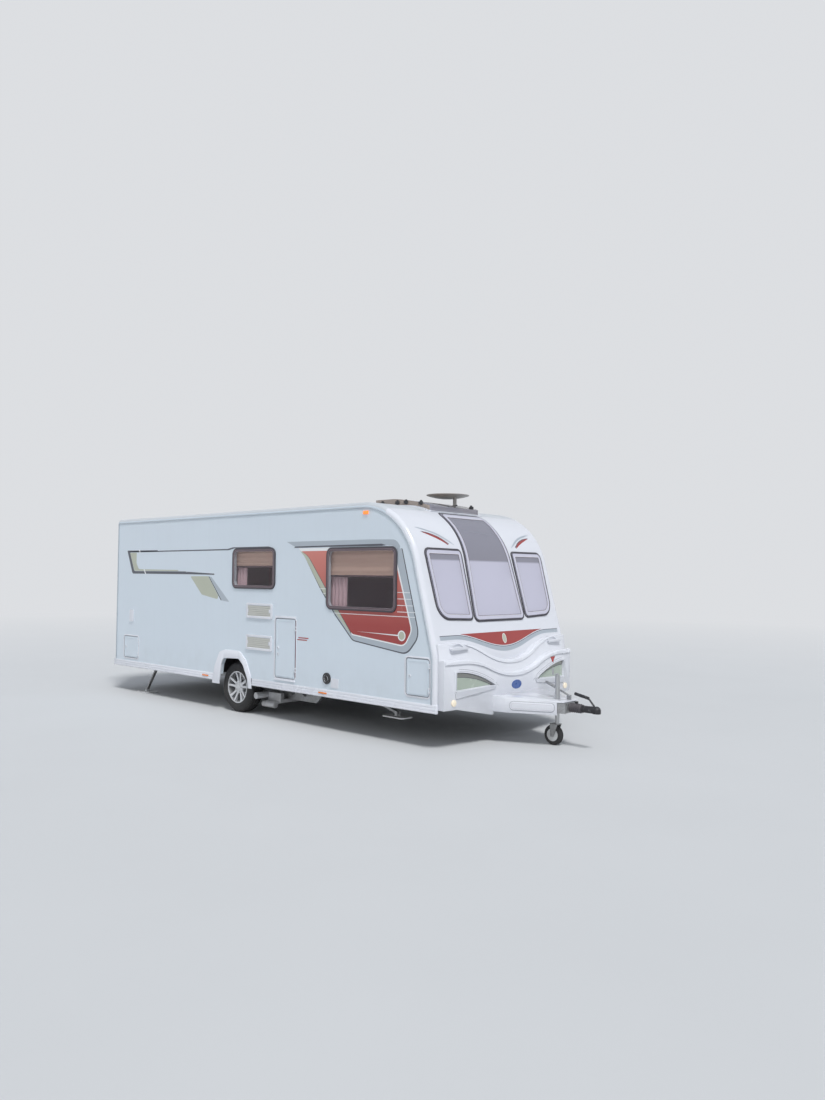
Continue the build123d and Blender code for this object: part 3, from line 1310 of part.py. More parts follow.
def spoke_dish():
    reach = RIM_RADIUS - BARREL_THICK / 2
    section = make_face([
        Line((0, SPOKE_BACK), (reach, SPOKE_BACK)),
        Line((reach, SPOKE_BACK), (reach, RIM_FACE - 4)),
        ThreePointArc((reach, RIM_FACE - 4), (0.68 * reach, HUB_FACE + 4), (HUB_FACE_RADIUS, HUB_FACE - 2)),
        Line((HUB_FACE_RADIUS, HUB_FACE - 2), (0, HUB_FACE - 2)),
        Line((0, HUB_FACE - 2), (0, SPOKE_BACK)),
    ])
    return revolve(Plane.XZ * section, axis=Axis.Z)


def spokes():
    plan = make_face(Polyline(
        (CAP_RADIUS, -SPOKE_HUB_WIDTH / 2),
        (RIM_RADIUS, -SPOKE_RIM_WIDTH / 2),
        (RIM_RADIUS, SPOKE_RIM_WIDTH / 2),
        (CAP_RADIUS, SPOKE_HUB_WIDTH / 2),
        close=True,
    ))
    one = prism_xy(plan, 0, TYRE_WIDTH) & spoke_dish()
    turns = [90 + 360 / SPOKE_PAIRS * pair + turn for pair in range(SPOKE_PAIRS) for turn in
             (-SPOKE_SPREAD_DEG, SPOKE_SPREAD_DEG)]
    return [Rot(0, 0, turn) * one for turn in turns]


def hub_face():
    hub_back = DRUM_Y1 - WHEEL_Y
    hub = Pos(0, 0, (hub_back + HUB_FACE) / 2) * Cylinder(HUB_FACE_RADIUS, HUB_FACE - hub_back)
    hub += Pos(0, 0, HUB_FACE) * Cylinder(CAP_RADIUS, 2 * CAP_PROUD)
    for index in range(STUD_COUNT):
        place = Rot(0, 0, 360 / STUD_COUNT * index) * Pos(STUD_CIRCLE, 0, HUB_FACE)
        hub -= place * Cylinder(STUD_POCKET, 2 * STUD_POCKET)
        hub += place * Pos(0, 0, -STUD_POCKET / 2) * Cylinder(STUD_HEAD, STUD_POCKET)
    return hub


def rim(side):
    barrel = Cylinder(RIM_RADIUS, 2 * RIM_FACE) - Cylinder(RIM_RADIUS - BARREL_THICK, 2 * RIM_FACE + 8)
    hub_back = DRUM_Y1 - WHEEL_Y
    wheel = barrel + hub_face()
    for spoke in spokes():
        wheel += spoke
    lip = Cylinder(RIM_RADIUS, RIM_LIP) - Cylinder(RIM_RADIUS - RIM_LIP, RIM_LIP + 2)
    wheel += Pos(0, 0, RIM_FACE - RIM_LIP / 2) * lip
    drum_back = DRUM_Y0 - WHEEL_Y
    wheel += Pos(0, 0, (drum_back + hub_back) / 2) * Cylinder(DRUM_RADIUS, hub_back - drum_back)
    stub_end = STUB_END_Y + 2 - WHEEL_Y
    wheel -= Pos(0, 0, (drum_back - 1 + stub_end) / 2) * Cylinder(
        STUB_RADIUS + BEARING_CLEARANCE, stub_end - drum_back + 1
    )
    return wheel_place(side) * wheel


# Motor movers, ahead of each wheel
ROLLER_RADIUS = 38
ROLLER_GAP = 16
MOVER_ROLLER_X = WHEEL_X + WHEEL_RADIUS + ROLLER_RADIUS + ROLLER_GAP
MOVER_ROLLER_Z = 230
MOVER_BAR_X = MOVER_ROLLER_X + 224
MOVER_BAR_HALF = 20
MOVER_BAR_LOW_Z = RAIL_DEEP_Z - 2 * MOVER_BAR_HALF
MOTOR_RADIUS = 36
MOTOR_Z = 130


def movers():
    x = MOVER_ROLLER_X
    case_y = WHEEL_Y - 103
    front_x = MOVER_BAR_X + MOVER_BAR_HALF
    roller = cylinder_y(x, MOVER_ROLLER_Z, ROLLER_RADIUS, WHEEL_Y - 95, WHEEL_Y + 75)
    body = box(x + 6, front_x, case_y - 52, case_y, MOTOR_Z + 20, MOVER_ROLLER_Z + 32)
    body += box(x - 20, x + 50, case_y - 10, case_y + 8, MOVER_ROLLER_Z - 30, MOVER_ROLLER_Z + 32)
    body += cylinder_y(x, MOVER_ROLLER_Z, 14, case_y - 2, case_y + 9)
    motor = cylinder_x(WHEEL_Y - 45, MOTOR_Z, MOTOR_RADIUS, x, MOVER_BAR_X)
    motor += box(x + 60, MOVER_BAR_X, case_y - 12, WHEEL_Y - 35, MOTOR_Z + 10, MOTOR_Z + 40)
    unit = roller + body + motor
    unit += box(MOVER_BAR_X - MOVER_BAR_HALF, front_x, 0, case_y - 42, MOVER_BAR_LOW_Z, RAIL_DEEP_Z)
    return both_sides(unit)


# Build
def write_all():
    os.makedirs("parts", exist_ok=True)
    write("floor", floor_panel())
    write("side_wall_offside", side_wall(OFFSIDE))
    write("side_wall_nearside", side_wall(NEARSIDE))
    write("rear_panel", rear_panel())
    write("roof_panel", roof_panel())
    write("front_panel", front_panel())
    write("front_moulding", front_moulding())
    write("front_windows", front_windows())
    write("side_windows", side_windows())
    write("wheel_boxes", wheel_boxes())
    write("skirts", skirts())
    write("arch_trims", arch_trims())
    write("hinge_posts", hinge_posts())
    write("wall_fittings", wall_fittings())
    write("rear_bumper", rear_bumper())
    write("rear_lamps", rear_lamps())
    write("marker_lamps", marker_lamps())
    write("grab_handles", grab_handles())
    write("awning_rails", awning_rails())
    write("rooflights", rooflights())
    write("satellite_dish", satellite_dish())
    write("chassis_rails", chassis_rails())
    write("cross_members", cross_members())
    write("drawbar_legs", drawbar_legs())
    write("drawbar_head", drawbar_head())
    write("drawbar_cover", drawbar_cover())
    write("overrun_bellows", overrun_bellows())
    write("coupling_head", coupling_head())
    write("handbrake_lever", handbrake_lever())
    write("jockey_tube", jockey_tube())
    write("jockey_inner", jockey_inner())
    write("jockey_fork", jockey_fork())
    write("jockey_tyre", jockey_tyre())
    write("jockey_rim", jockey_rim())
    write("steady_brackets", steady_brackets())
    write("axle", axle())
    write("movers", movers())
    for side, label in ((NEARSIDE, "left"), (OFFSIDE, "right")):
        write(f"tyre_{label}", tyre(side))
        write(f"rim_{label}", rim(side))
        y = side * STEADY_Y
        write(f"rear_steady_{label}", steady_leg(REAR_STEADY_X, y, False, DOWN_ANGLE))
        write(f"rear_pad_{label}", steady_pad(REAR_STEADY_X, y, False, DOWN_ANGLE))
        write(f"front_steady_{label}", steady_leg(FRONT_STEADY_X, y, True, STEADY_RAISED_DEG))
        write(f"front_pad_{label}", steady_pad(FRONT_STEADY_X, y, True, STEADY_RAISED_DEG))
    write("entrance_door", entrance_door())
    write("door_window", door_window())
    for name, *sizes in DOORS[1:]:
        write(name, door_leaf(*sizes) + door_border(*sizes))


write_all()
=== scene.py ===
import json
import math

import bmesh
import bpy
from bpy.props import FloatProperty, FloatVectorProperty, IntProperty, PointerProperty
from mathutils import Matrix, Vector

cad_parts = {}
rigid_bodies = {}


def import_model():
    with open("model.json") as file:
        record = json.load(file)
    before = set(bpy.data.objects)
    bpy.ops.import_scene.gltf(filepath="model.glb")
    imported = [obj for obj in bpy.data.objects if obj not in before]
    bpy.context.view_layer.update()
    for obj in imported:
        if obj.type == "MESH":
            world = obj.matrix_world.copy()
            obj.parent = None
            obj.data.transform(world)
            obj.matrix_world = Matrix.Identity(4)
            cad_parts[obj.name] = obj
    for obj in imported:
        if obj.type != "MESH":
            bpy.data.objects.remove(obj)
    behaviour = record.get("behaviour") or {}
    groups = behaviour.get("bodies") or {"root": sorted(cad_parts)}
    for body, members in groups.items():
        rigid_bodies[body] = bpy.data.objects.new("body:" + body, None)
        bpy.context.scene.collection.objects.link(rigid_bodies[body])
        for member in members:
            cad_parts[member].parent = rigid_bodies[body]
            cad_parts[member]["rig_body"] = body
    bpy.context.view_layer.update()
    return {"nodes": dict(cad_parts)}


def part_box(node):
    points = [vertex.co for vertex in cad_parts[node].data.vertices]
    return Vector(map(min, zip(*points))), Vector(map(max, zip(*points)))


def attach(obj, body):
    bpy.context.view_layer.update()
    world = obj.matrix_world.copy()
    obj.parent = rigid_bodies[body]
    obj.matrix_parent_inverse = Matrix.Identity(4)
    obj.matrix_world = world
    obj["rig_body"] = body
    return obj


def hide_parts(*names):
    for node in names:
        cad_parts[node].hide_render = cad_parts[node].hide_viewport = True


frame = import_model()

bl_info = {
    "name": "Travel Caravan",
    "version": (1, 0, 0),
    "blender": (4, 5, 0),
    "location": "View3D > Sidebar > Caravan",
    "description": "Dresses the packed model of a single-axle travel caravan",
    "category": "Object",
}

NODES = frame["nodes"]

# Stations along the body are measured from the rear wall, in metres
REAR_WALL = -3.575
HALF = 1.125
WHEEL_X, WHEEL_Z, WHEEL_Y = 2.854, 0.298, 0.975
OFFSIDE, NEARSIDE = -1, 1
SIDES = {"offside": OFFSIDE, "nearside": NEARSIDE}

# The finished rims' bores, within this reach of the axle, are this much wider than the CAD's,
# so that their facets clear the stubs at every turn
BORE_REACH = 0.025
BORE_PLAY = 0.0008

# Half width over which the front moulding's steps dip, and the flue's station and height
STEP_FLAT = 0.860
FLUE = (4.540, 0.558)

# The camera of the photograph: its place, the turns in radians that aim it, and its lens in mm
CAMERA_PLACE = (7.735, -7.193, 1.659)
CAMERA_YAW, CAMERA_PITCH, CAMERA_ROLL = 2.312, 0.031, 0.011
CAMERA_LENS, SENSOR_WIDTH = 27.61, 36
BACKDROP = (0.72, 0.735, 0.76)

# Side panes: side, rear, front, sill and head of the pane
SIDE_PANES = {
    "kitchen": (OFFSIDE, 2.822, 3.628, 1.497, 1.962),
    "lounge_offside": (OFFSIDE, 4.522, 5.548, 1.302, 1.948),
    "lounge_nearside": (NEARSIDE, 4.522, 5.548, 1.302, 1.948),
    "bedroom": (NEARSIDE, 0.742, 1.758, 1.302, 1.948),
}
PANE_CORNER = 0.07
PANE_PROUD = 0.012

# Doors in the walls, without what stands proud of them: rear, front, sill and head
DOORS = {
    "entrance_door": (NEARSIDE, 3.450, 4.060, 0.490, 2.180),
    "gas_locker_door": (OFFSIDE, 3.660, 4.000, 0.500, 1.160),
    "front_locker_door": (OFFSIDE, 5.695, 5.988, 0.510, 0.860),
    "cassette_door": (OFFSIDE, 0.280, 0.645, 0.490, 0.776),
}

# Heights of the doors' locks, near each rear edge
LOCKS = {"entrance_door": (1.240,), "gas_locker_door": (0.760, 0.830), "front_locker_door": (0.690,),
         "cassette_door": (0.633,)}

# Front panes: rows of (across, height, corner radius)
FRONT_SIDE_PANE = [(0.448, 1.932, 0.035), (1.0, 1.934, 0.06), (0.976, 1.25, 0.16), (0.464, 1.231, 0.045)]
FRONT_CENTRE_PANE = [(-0.36, 2.338, 0.06), (0.36, 2.338, 0.06), (0.428, 1.215, 0.055), (-0.428, 1.215, 0.055)]

# No front seal reaches above this height, so that its upper edge stays on the front panel
FRONT_SEAL_TOP = 2.3445


def along(x):
    """A station measured from the rear wall, in the model's own frame."""
    return x + REAR_WALL


# Tools of the bench

def only(*objs):
    """Selects these pieces alone, the last of them active."""
    bpy.ops.object.select_all(action="DESELECT")
    for obj in objs:
        obj.select_set(True)
        bpy.context.view_layer.objects.active = obj


def edit(obj, mode="VERT"):
    """Opens one piece for editing, with nothing selected on it."""
    only(obj)
    bpy.ops.object.mode_set(mode="EDIT")
    bpy.ops.mesh.select_mode(type=mode)
    bpy.ops.mesh.select_all(action="DESELECT")


def done():
    bpy.ops.object.mode_set(mode="OBJECT")


def select_where(obj, kind, test):
    """Selects the vertices, edges or faces whose middle passes the test, while the piece is open."""
    mesh = bmesh.from_edit_mesh(obj.data)
    found = 0
    for item in getattr(mesh, kind):
        if kind == "faces":
            keep = test(item.calc_center_median(), item.normal)
        elif kind == "edges":
            keep = test((item.verts[0].co + item.verts[1].co) / 2, item.verts[0].co - item.verts[1].co)
        else:
            keep = test(item.co, item.normal)
        if keep:
            item.select_set(True)
            found += 1
    mesh.select_flush_mode()
    bmesh.update_edit_mesh(obj.data)
    return found


def apply_modifier(obj, kind, **settings):
    """Adds one modifier with its settings and applies it."""
    only(obj)
    bpy.ops.object.modifier_add(type=kind)
    modifier = obj.modifiers[-1]
    for name, value in settings.items():
        setattr(modifier, name, value)
    bpy.ops.object.modifier_apply(modifier=modifier.name)


def ease(obj, width, segments=3, angle=1.0):
    """Rounds the sharp edges of a piece."""
    apply_modifier(obj, "BEVEL", width=width, segments=segments, limit_method="ANGLE", angle_limit=angle)


def settle(obj):
    """Moves the piece's place into its mesh."""
    only(obj)
    bpy.ops.object.transform_apply(location=True, rotation=True, scale=True)


def tidy_mesh(obj, gap=1e-5):
    """Merges doubled points and turns the faces outwards."""
    edit(obj)
    bpy.ops.mesh.select_all(action="SELECT")
    bpy.ops.mesh.remove_doubles(threshold=gap)
    bpy.ops.mesh.normals_make_consistent(inside=False)
    done()


def hand_over(obj, name, material, body="caravan", smooth=35):
    """Names a finished piece, gives it its finish and lets it ride with its body."""
    obj.name = name
    obj.data.name = name
    settle(obj)
    if smooth:
        bpy.ops.object.shade_smooth_by_angle(angle=math.radians(smooth))
    obj.data.materials.clear()
    obj.data.materials.append(bpy.data.materials[material])
    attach(obj, body)
    return obj


def copy_piece(obj, name, mirror=False):
    """A copy with a mesh of its own, mirrored to the other side if asked."""
    twin = obj.copy()
    twin.data = obj.data.copy()
    bpy.context.collection.objects.link(twin)
    twin.name = name
    twin.data.name = name
    if mirror:
        only(twin)
        twin.scale.y = -1
        settle(twin)
        edit(twin)
        bpy.ops.mesh.select_all(action="SELECT")
        bpy.ops.mesh.flip_normals()
        done()
    return twin


def join(objs):
    """Makes one piece of several."""
    only(*objs[::-1])
    if len(objs) > 1:
        bpy.ops.object.join()
    return objs[0]


def rounded(corners):
    """The points of a closed outline from rows of (u, v, corner radius)."""
    points = []
    for i, (u, v, radius) in enumerate(corners):
        here = Vector((u, v))
        before = (Vector(corners[i - 1][:2]) - here).normalized()
        after = (Vector(corners[(i + 1) % len(corners)][:2]) - here).normalized()
        if not radius:
            points.append(here)
            continue
        half = before.angle(after) / 2
        centre = here + (before + after).normalized() * (radius / math.sin(half))
        first = here + before * (radius / math.tan(half)) - centre
        last = here + after * (radius / math.tan(half)) - centre
        start = math.atan2(first.y, first.x)
        turn = (math.atan2(last.y, last.x) - start + math.pi) % (2 * math.pi) - math.pi
        steps = max(2, math.ceil(abs(turn) / 0.16))
        for k in range(steps + 1):
            a = start + turn * k / steps
            points.append(centre + radius * Vector((math.cos(a), math.sin(a))))
    return points


def ellipse(centre, across, up):
    """The points of a closed ellipse about a centre."""
    return [Vector((centre[0] + across * math.cos(k / 5), centre[1] + up * math.sin(k / 5)))
            for k in range(31)]


def oblong(start, end, low, high, corner):
    """The rows of an oblong outline, for rounded() or inset()."""
    return [(start, low, corner), (end, low, corner), (end, high, corner), (start, high, corner)]


def widened(points, amount):
    """A closed outline moved outwards by an amount, or inwards where it is negative."""
    count = len(points)
    area = sum(points[i - 1].cross(points[i]) for i in range(count))
    sign = 1 if area > 0 else -1
    moved = []
    for i in range(count):
        before = (points[i] - points[i - 1]).normalized()
        after = (points[(i + 1) % count] - points[i]).normalized()
        normal = Vector((before.y + after.y, -before.x - after.x)).normalized()
        lean = max(0.5, normal.dot(Vector((before.y, -before.x))))
        moved.append(points[i] + normal * (sign * amount / lean))
    return moved


def inset(corners, amount):
    """The rounded outline drawn this far inside rows of (u, v, corner radius), or outside where negative."""
    middle = widened([Vector(row[:2]) for row in corners], -amount)
    return rounded([(point.x, point.y, max(0.004, row[2] - amount)) for point, row in zip(middle, corners)])


def frame_plate(corners, outer, inner):
    """The two outlines of a frame between an outer and an inner inset."""
    return [inset(corners, outer), inset(corners, inner)]


def flat_plate(outlines, thick):
    """A plate with holes, drawn as a flat curve and made a mesh, lying in its own XY plane."""
    bpy.ops.object.select_all(action="DESELECT")
    bpy.ops.curve.primitive_bezier_circle_add(location=(0, 0, 0))
    obj = bpy.context.object
    obj.data.dimensions = "2D"
    obj.data.fill_mode = "BOTH"
    obj.data.extrude = thick / 2
    obj.data.splines.clear()
    for outline in outlines:
        spline = obj.data.splines.new("POLY")
        spline.points.add(len(outline) - 1)
        for point, place in zip(spline.points, outline):
            point.co = (place[0], place[1], 0, 1)
        spline.use_cyclic_u = True
    bpy.ops.object.convert(target="MESH")
    tidy_mesh(obj)
    return obj


def smooth_line(points, steps=6):
    """A smooth line of rows of numbers that passes through every given row."""
    rows = [Vector(p) for p in points]
    rows = [rows[0] * 2 - rows[1]] + rows + [rows[-1] * 2 - rows[-2]]
    line = []
    for a, b, c, d in zip(rows, rows[1:], rows[2:], rows[3:]):
        for k in range(steps):
            t = k / steps
            line.append(0.5 * (2 * b + (c - a) * t + (2 * a - 5 * b + 4 * c - d) * t * t
                               + (3 * b - a - 3 * c + d) * t ** 3))
    return line + [rows[-2]]


def stroke(points, steps=6):
    """The closed outline of a brush stroke through rows of (u, v, width)."""
    line = smooth_line(points, steps)
    left, right = [], []
    for i, row in enumerate(line):
        run = (line[min(i + 1, len(line) - 1)] - line[max(i - 1, 0)]).to_2d().normalized()
        across = Vector((-run.y, run.x)) * (row.z / 2)
        left.append(row.to_2d() + across)
        right.append(row.to_2d() - across)
    return left + right[::-1]


def arc_through(start, middle, end, steps=18):
    """The points of the arc that passes through three points."""
    a, b, c = (Vector(p) for p in (start, middle, end))
    d = 2 * (a.x * (b.y - c.y) + b.x * (c.y - a.y) + c.x * (a.y - b.y))
    centre = Vector((
        (a.dot(a) * (b.y - c.y) + b.dot(b) * (c.y - a.y) + c.dot(c) * (a.y - b.y)) / d,
        (a.dot(a) * (c.x - b.x) + b.dot(b) * (a.x - c.x) + c.dot(c) * (b.x - a.x)) / d,
    ))
    radius = (a - centre).length
    first = math.atan2(a.y - centre.y, a.x - centre.x)
    turn = (math.atan2(c.y - centre.y, c.x - centre.x) - first + math.pi) % (2 * math.pi) - math.pi
    return [centre + radius * Vector((math.cos(first + turn * k / steps), math.sin(first + turn * k / steps)))
            for k in range(steps + 1)]


def mirrored(points):
    """The same outline on the other side of the middle."""
    return [Vector((-p[0], p[1])) for p in points][::-1]


def side_plate(outlines, side, thick, proud):
    """A plate on a side wall: outlines of (station, height), its outer face proud of the wall."""
    shifted = [[Vector((p[0] + REAR_WALL, p[1])) for p in outline] for outline in outlines]
    obj = flat_plate(shifted, thick)
    obj.rotation_euler = (math.pi / 2, 0, 0)
    obj.location = (0, side * (HALF + proud - thick / 2), 0)
    settle(obj)
    return obj


def face_rear(obj, station, across, height):
    """Turns a plate to face the rear and moves it to its place."""
    obj.rotation_euler = (math.pi / 2, 0, -math.pi / 2)
    obj.location = (along(station), across, height)


def pressed(obj, node, axis, proud, thick, step, spread=1.0):
    """Cuts a flat sheet into strips and presses it onto a CAD node along an axis, then thickens it."""
    low = [min(v.co[i] for v in obj.data.vertices) for i in range(3)]
    high = [max(v.co[i] for v in obj.data.vertices) for i in range(3)]
    edit(obj)
    for cut in range(3):
        if cut == axis:
            continue
        size = step * (spread if cut == 1 else 1)
        for k in range(1, int((high[cut] - low[cut]) / size) + 1):
            middle = list(low)
            middle[cut] = low[cut] + k * size
            bpy.ops.mesh.select_all(action="SELECT")
            bpy.ops.mesh.bisect(plane_co=middle, plane_no=[float(i == cut) for i in range(3)])
    done()
    apply_modifier(obj, "SHRINKWRAP", target=NODES[node], wrap_method="PROJECT", use_project_x=axis == 0,
                   use_project_y=axis == 1, use_project_z=axis == 2, use_negative_direction=True,
                   use_positive_direction=False, offset=proud)
    tidy_mesh(obj)
    if sum(face.normal[axis] * face.area for face in obj.data.polygons) < 0:
        edit(obj)
        bpy.ops.mesh.select_all(action="SELECT")
        bpy.ops.mesh.flip_normals()
        done()
    if thick:
        apply_modifier(obj, "SOLIDIFY", thickness=thick, offset=-1)
    return obj


def front_plate(outlines, node, proud, thick, step=0.03, spread=1.0):
    """A plate laid on the curved front: outlines of (across, height), pressed onto a CAD node."""
    obj = flat_plate(outlines, 0)
    obj.rotation_euler = (math.pi / 2, 0, math.pi / 2)
    obj.location = (4.0, 0, 0)
    settle(obj)
    return pressed(obj, node, 0, proud, thick, step, spread)


def roof_plate(outlines, node, proud, thick, step=0.04):
    """A plate laid on the roof: outlines of (station, across), pressed onto a CAD node."""
    obj = flat_plate([[Vector((p[0] + REAR_WALL, p[1])) for p in outline] for outline in outlines], 0)
    obj.location = (0, 0, 3.2)
    settle(obj)
    return pressed(obj, node, 2, proud, thick, step, 4.0)


def lathe(profile, steps=96):
    """Turns a closed profile of (radius, along) about its own Y axis."""
    bpy.ops.object.select_all(action="DESELECT")
    bpy.ops.mesh.primitive_circle_add(vertices=len(profile), fill_type="NOTHING", location=(0, 0, 0))
    obj = bpy.context.object
    for vertex, (radius, reach) in zip(obj.data.vertices, profile):
        vertex.co = (radius, reach, 0)
    edit(obj)
    bpy.ops.mesh.select_all(action="SELECT")
    bpy.ops.mesh.spin(steps=steps, angle=2 * math.pi, center=(0, 0, 0), axis=(0, 1, 0))
    done()
    tidy_mesh(obj)
    return obj


def block(size, place, corner=0.0, segments=3):
    """A block whose edges are rounded."""
    bpy.ops.object.select_all(action="DESELECT")
    bpy.ops.mesh.primitive_cube_add(size=1, location=place, scale=size)
    obj = bpy.context.object
    settle(obj)
    if corner:
        edit(obj, "EDGE")
        bpy.ops.mesh.select_all(action="SELECT")
        bpy.ops.mesh.bevel(offset=corner, segments=segments, affect="EDGES")
        done()
    return obj


def refined(node, width=0.0, sharp=32, weld=1e-5, merge_flats=True):
    """A merged copy of a CAD node whose sharp edges are rounded, which stands for the node."""
    obj = bpy.data.objects.new(node + "_finished", NODES[node].data.copy())
    bpy.context.collection.objects.link(obj)
    only(obj)
    if obj.data.has_custom_normals:
        bpy.ops.mesh.customdata_custom_splitnormals_clear()
    edit(obj)
    bpy.ops.mesh.select_all(action="SELECT")
    bpy.ops.mesh.remove_doubles(threshold=weld)
    if merge_flats:
        bpy.ops.mesh.dissolve_limited(angle_limit=math.radians(0.4), delimit={"NORMAL"})
    done()
    if width:
        apply_modifier(obj, "BEVEL", width=width, segments=2, limit_method="ANGLE",
                       angle_limit=math.radians(sharp), use_clamp_overlap=True)
    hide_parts(node)
    return obj


# Finishes

def socket(tree, kind, **inputs):
    """A node with its settings and inputs; an input may be a value or another node's output."""
    node = tree.nodes.new(kind)
    for name, value in inputs.items():
        if name in node.bl_rna.properties:
            setattr(node, name, value)
            continue
        entry = node.inputs[int(name[1:])] if name[0] == "i" and name[1:].isdigit() else node.inputs[name]
        if isinstance(value, bpy.types.NodeSocket):
            tree.links.new(value, entry)
        else:
            entry.default_value = value
    return node


def mixed(tree, factor, first, second):
    """Two colours mixed by a factor."""
    node = tree.nodes.new("ShaderNodeMix")
    node.data_type = "RGBA"
    for entry, value in ((0, factor), (6, first), (7, second)):
        if isinstance(value, bpy.types.NodeSocket):
            tree.links.new(value, node.inputs[entry])
        else:
            node.inputs[entry].default_value = value if entry == 0 else (*value, 1)
    return node.outputs[2]


def spread(tree, value, low, high, out_low, out_high):
    """A value mapped from one range to another, clamped."""
    return socket(tree, "ShaderNodeMapRange", i0=value, i1=low, i2=high, i3=out_low, i4=out_high).outputs[0]


def noise(tree, place, scale, detail=3.0, rough=0.5):
    node = socket(tree, "ShaderNodeTexNoise", Vector=place, Scale=scale, Detail=detail, Roughness=rough)
    return node.outputs[0]


def times(tree, first, second, operation="MULTIPLY"):
    return socket(tree, "ShaderNodeMath", operation=operation, i0=first, i1=second).outputs[0]


def tinted(colour, factor):
    return tuple(min(1.0, c * factor) for c in colour)


def finish(name, colour, rough=0.4, metal=0.0, coat=0.0, shade=0.05, cloud=3.0, grain=120.0, depth=0.0002,
           relief=0.15, grime=0.0, grime_top=1.0, streaks=0.0, spangle=0.0, clear=0.0,
           glow=0.0, edge_wear=0.0, gradient=None, solid=1.0):
    """A worked finish: cloudy colour, uneven gloss, fine relief, and dirt that thins out upwards."""
    material = bpy.data.materials.new(name)
    material.use_nodes = True
    tree = material.node_tree
    shader = tree.nodes["Principled BSDF"]
    place = socket(tree, "ShaderNodeTexCoord").outputs["Object"]
    axes = socket(tree, "ShaderNodeSeparateXYZ", Vector=place)
    clouds = noise(tree, place, cloud, 4.0)
    paint = mixed(tree, clouds, tinted(colour, 1 - shade), tinted(colour, 1 + shade))
    if gradient:
        low, high, other = gradient
        paint = mixed(tree, spread(tree, axes.outputs[2], low, high, 0.0, 1.0), paint, other)
    if spangle:
        cells = socket(tree, "ShaderNodeTexVoronoi", Vector=place, Scale=70.0)
        tone = spread(tree, socket(tree, "ShaderNodeSeparateColor", Color=cells.outputs["Color"]).outputs[0],
                      0.0, 1.0, 0.0, spangle)
        paint = mixed(tree, tone, paint, tinted(colour, 0.55))
    gloss = spread(tree, clouds, 0.3, 0.7, max(0.02, rough * 0.85), min(1.0, rough * 1.15))
    if streaks:
        column = socket(tree, "ShaderNodeMapping", Vector=place, Scale=(9.0, 9.0, 0.6)).outputs[0]
        lines = spread(tree, noise(tree, column, 2.0, 4.0, 0.6), 0.5, 0.8, 0.0, streaks)
        paint = mixed(tree, lines, paint, (0.30, 0.29, 0.27))
    if grime:
        height = spread(tree, axes.outputs[2], 0.25, grime_top, 1.0, 0.0)
        spots = spread(tree, noise(tree, place, 6.0, 6.0, 0.65), 0.38, 0.72, 0.15, 1.0)
        dirt = times(tree, times(tree, height, spots), grime)
        paint = mixed(tree, dirt, paint, (0.23, 0.21, 0.18))
        gloss = times(tree, gloss, spread(tree, dirt, 0.0, 0.5, 1.0, 1.6))
    fine = noise(tree, place, grain, 2.0)
    if edge_wear:
        worn = spread(tree, noise(tree, place, 35.0, 5.0, 0.7), 0.58, 0.72, 0.0, edge_wear)
        paint = mixed(tree, worn, paint, (0.30, 0.30, 0.31))
    bump = socket(tree, "ShaderNodeBump", Height=fine, Strength=relief, Distance=depth)
    tree.links.new(paint, shader.inputs["Base Color"])
    tree.links.new(gloss, shader.inputs["Roughness"])
    tree.links.new(bump.outputs[0], shader.inputs["Normal"])
    shader.inputs["Metallic"].default_value = metal
    if coat:
        shader.inputs["Coat Weight"].default_value = coat
        shader.inputs["Coat Roughness"].default_value = 0.06
    if clear:
        shader.inputs["Transmission Weight"].default_value = clear
        shader.inputs["IOR"].default_value = 1.49
    if solid < 1:
        shader.inputs["Alpha"].default_value = solid
    if glow:
        tree.links.new(paint, shader.inputs["Emission Color"])
        shader.inputs["Emission Strength"].default_value = glow
    return material


# Sizes and colours that a user would change

def colour_property(name, note, default):
    return FloatVectorProperty(name=name, description=note, default=default, subtype="COLOR", min=0, max=1)


class CaravanSizes(bpy.types.PropertyGroup):
    sticker: FloatProperty(name="Sticker", description="Thickness of the stickers", default=0.0006,
                           min=0.0001, max=0.002, unit="LENGTH")
    seal: FloatProperty(name="Seal", description="Width of the window seals", default=0.014,
                        min=0.004, max=0.03, unit="LENGTH")
    border: FloatProperty(name="Border", description="Width of the dark border inside each pane",
                          default=0.03, min=0.005, max=0.06, unit="LENGTH")
    tread: FloatProperty(name="Tread", description="Depth of the road tyres' grooves", default=0.007,
                         min=0.002, max=0.01, unit="LENGTH")
    edge: FloatProperty(name="Edge", description="Rounding of the mouldings' edges", default=0.002,
                        min=0.0005, max=0.006, unit="LENGTH")
    tread_blocks: IntProperty(name="Tread blocks", description="Blocks round one tyre", default=60,
                              min=24, max=90)


class CaravanColours(bpy.types.PropertyGroup):
    wall: colour_property("Wall", "Side walls", (0.635, 0.705, 0.770))
    moulding: colour_property("Moulding", "Glossy front and rear mouldings", (0.715, 0.730, 0.780))
    red: colour_property("Red", "Brick red of the stickers", (0.33, 0.045, 0.04))
    salmon: colour_property("Salmon", "Faded end of the red stickers", (0.62, 0.22, 0.18))
    silver: colour_property("Silver", "Silver grey of the stickers", (0.43, 0.48, 0.53))
    charcoal: colour_property("Charcoal", "Dark grey of the pinstripes", (0.085, 0.09, 0.11))
    khaki: colour_property("Khaki", "Pale green grey of the insets", (0.46, 0.48, 0.39))
    front_glass: colour_property("Front glass", "Tint of the front panes", (0.70, 0.69, 0.82))
    side_glass: colour_property("Side glass", "Tint of the side panes", (0.10, 0.065, 0.075))
    rubber: colour_property("Rubber", "Seals and bellows", (0.06, 0.055, 0.065))
    alloy: colour_property("Alloy", "Road wheels", (0.66, 0.67, 0.69))


# Operators: the stage and the finishes

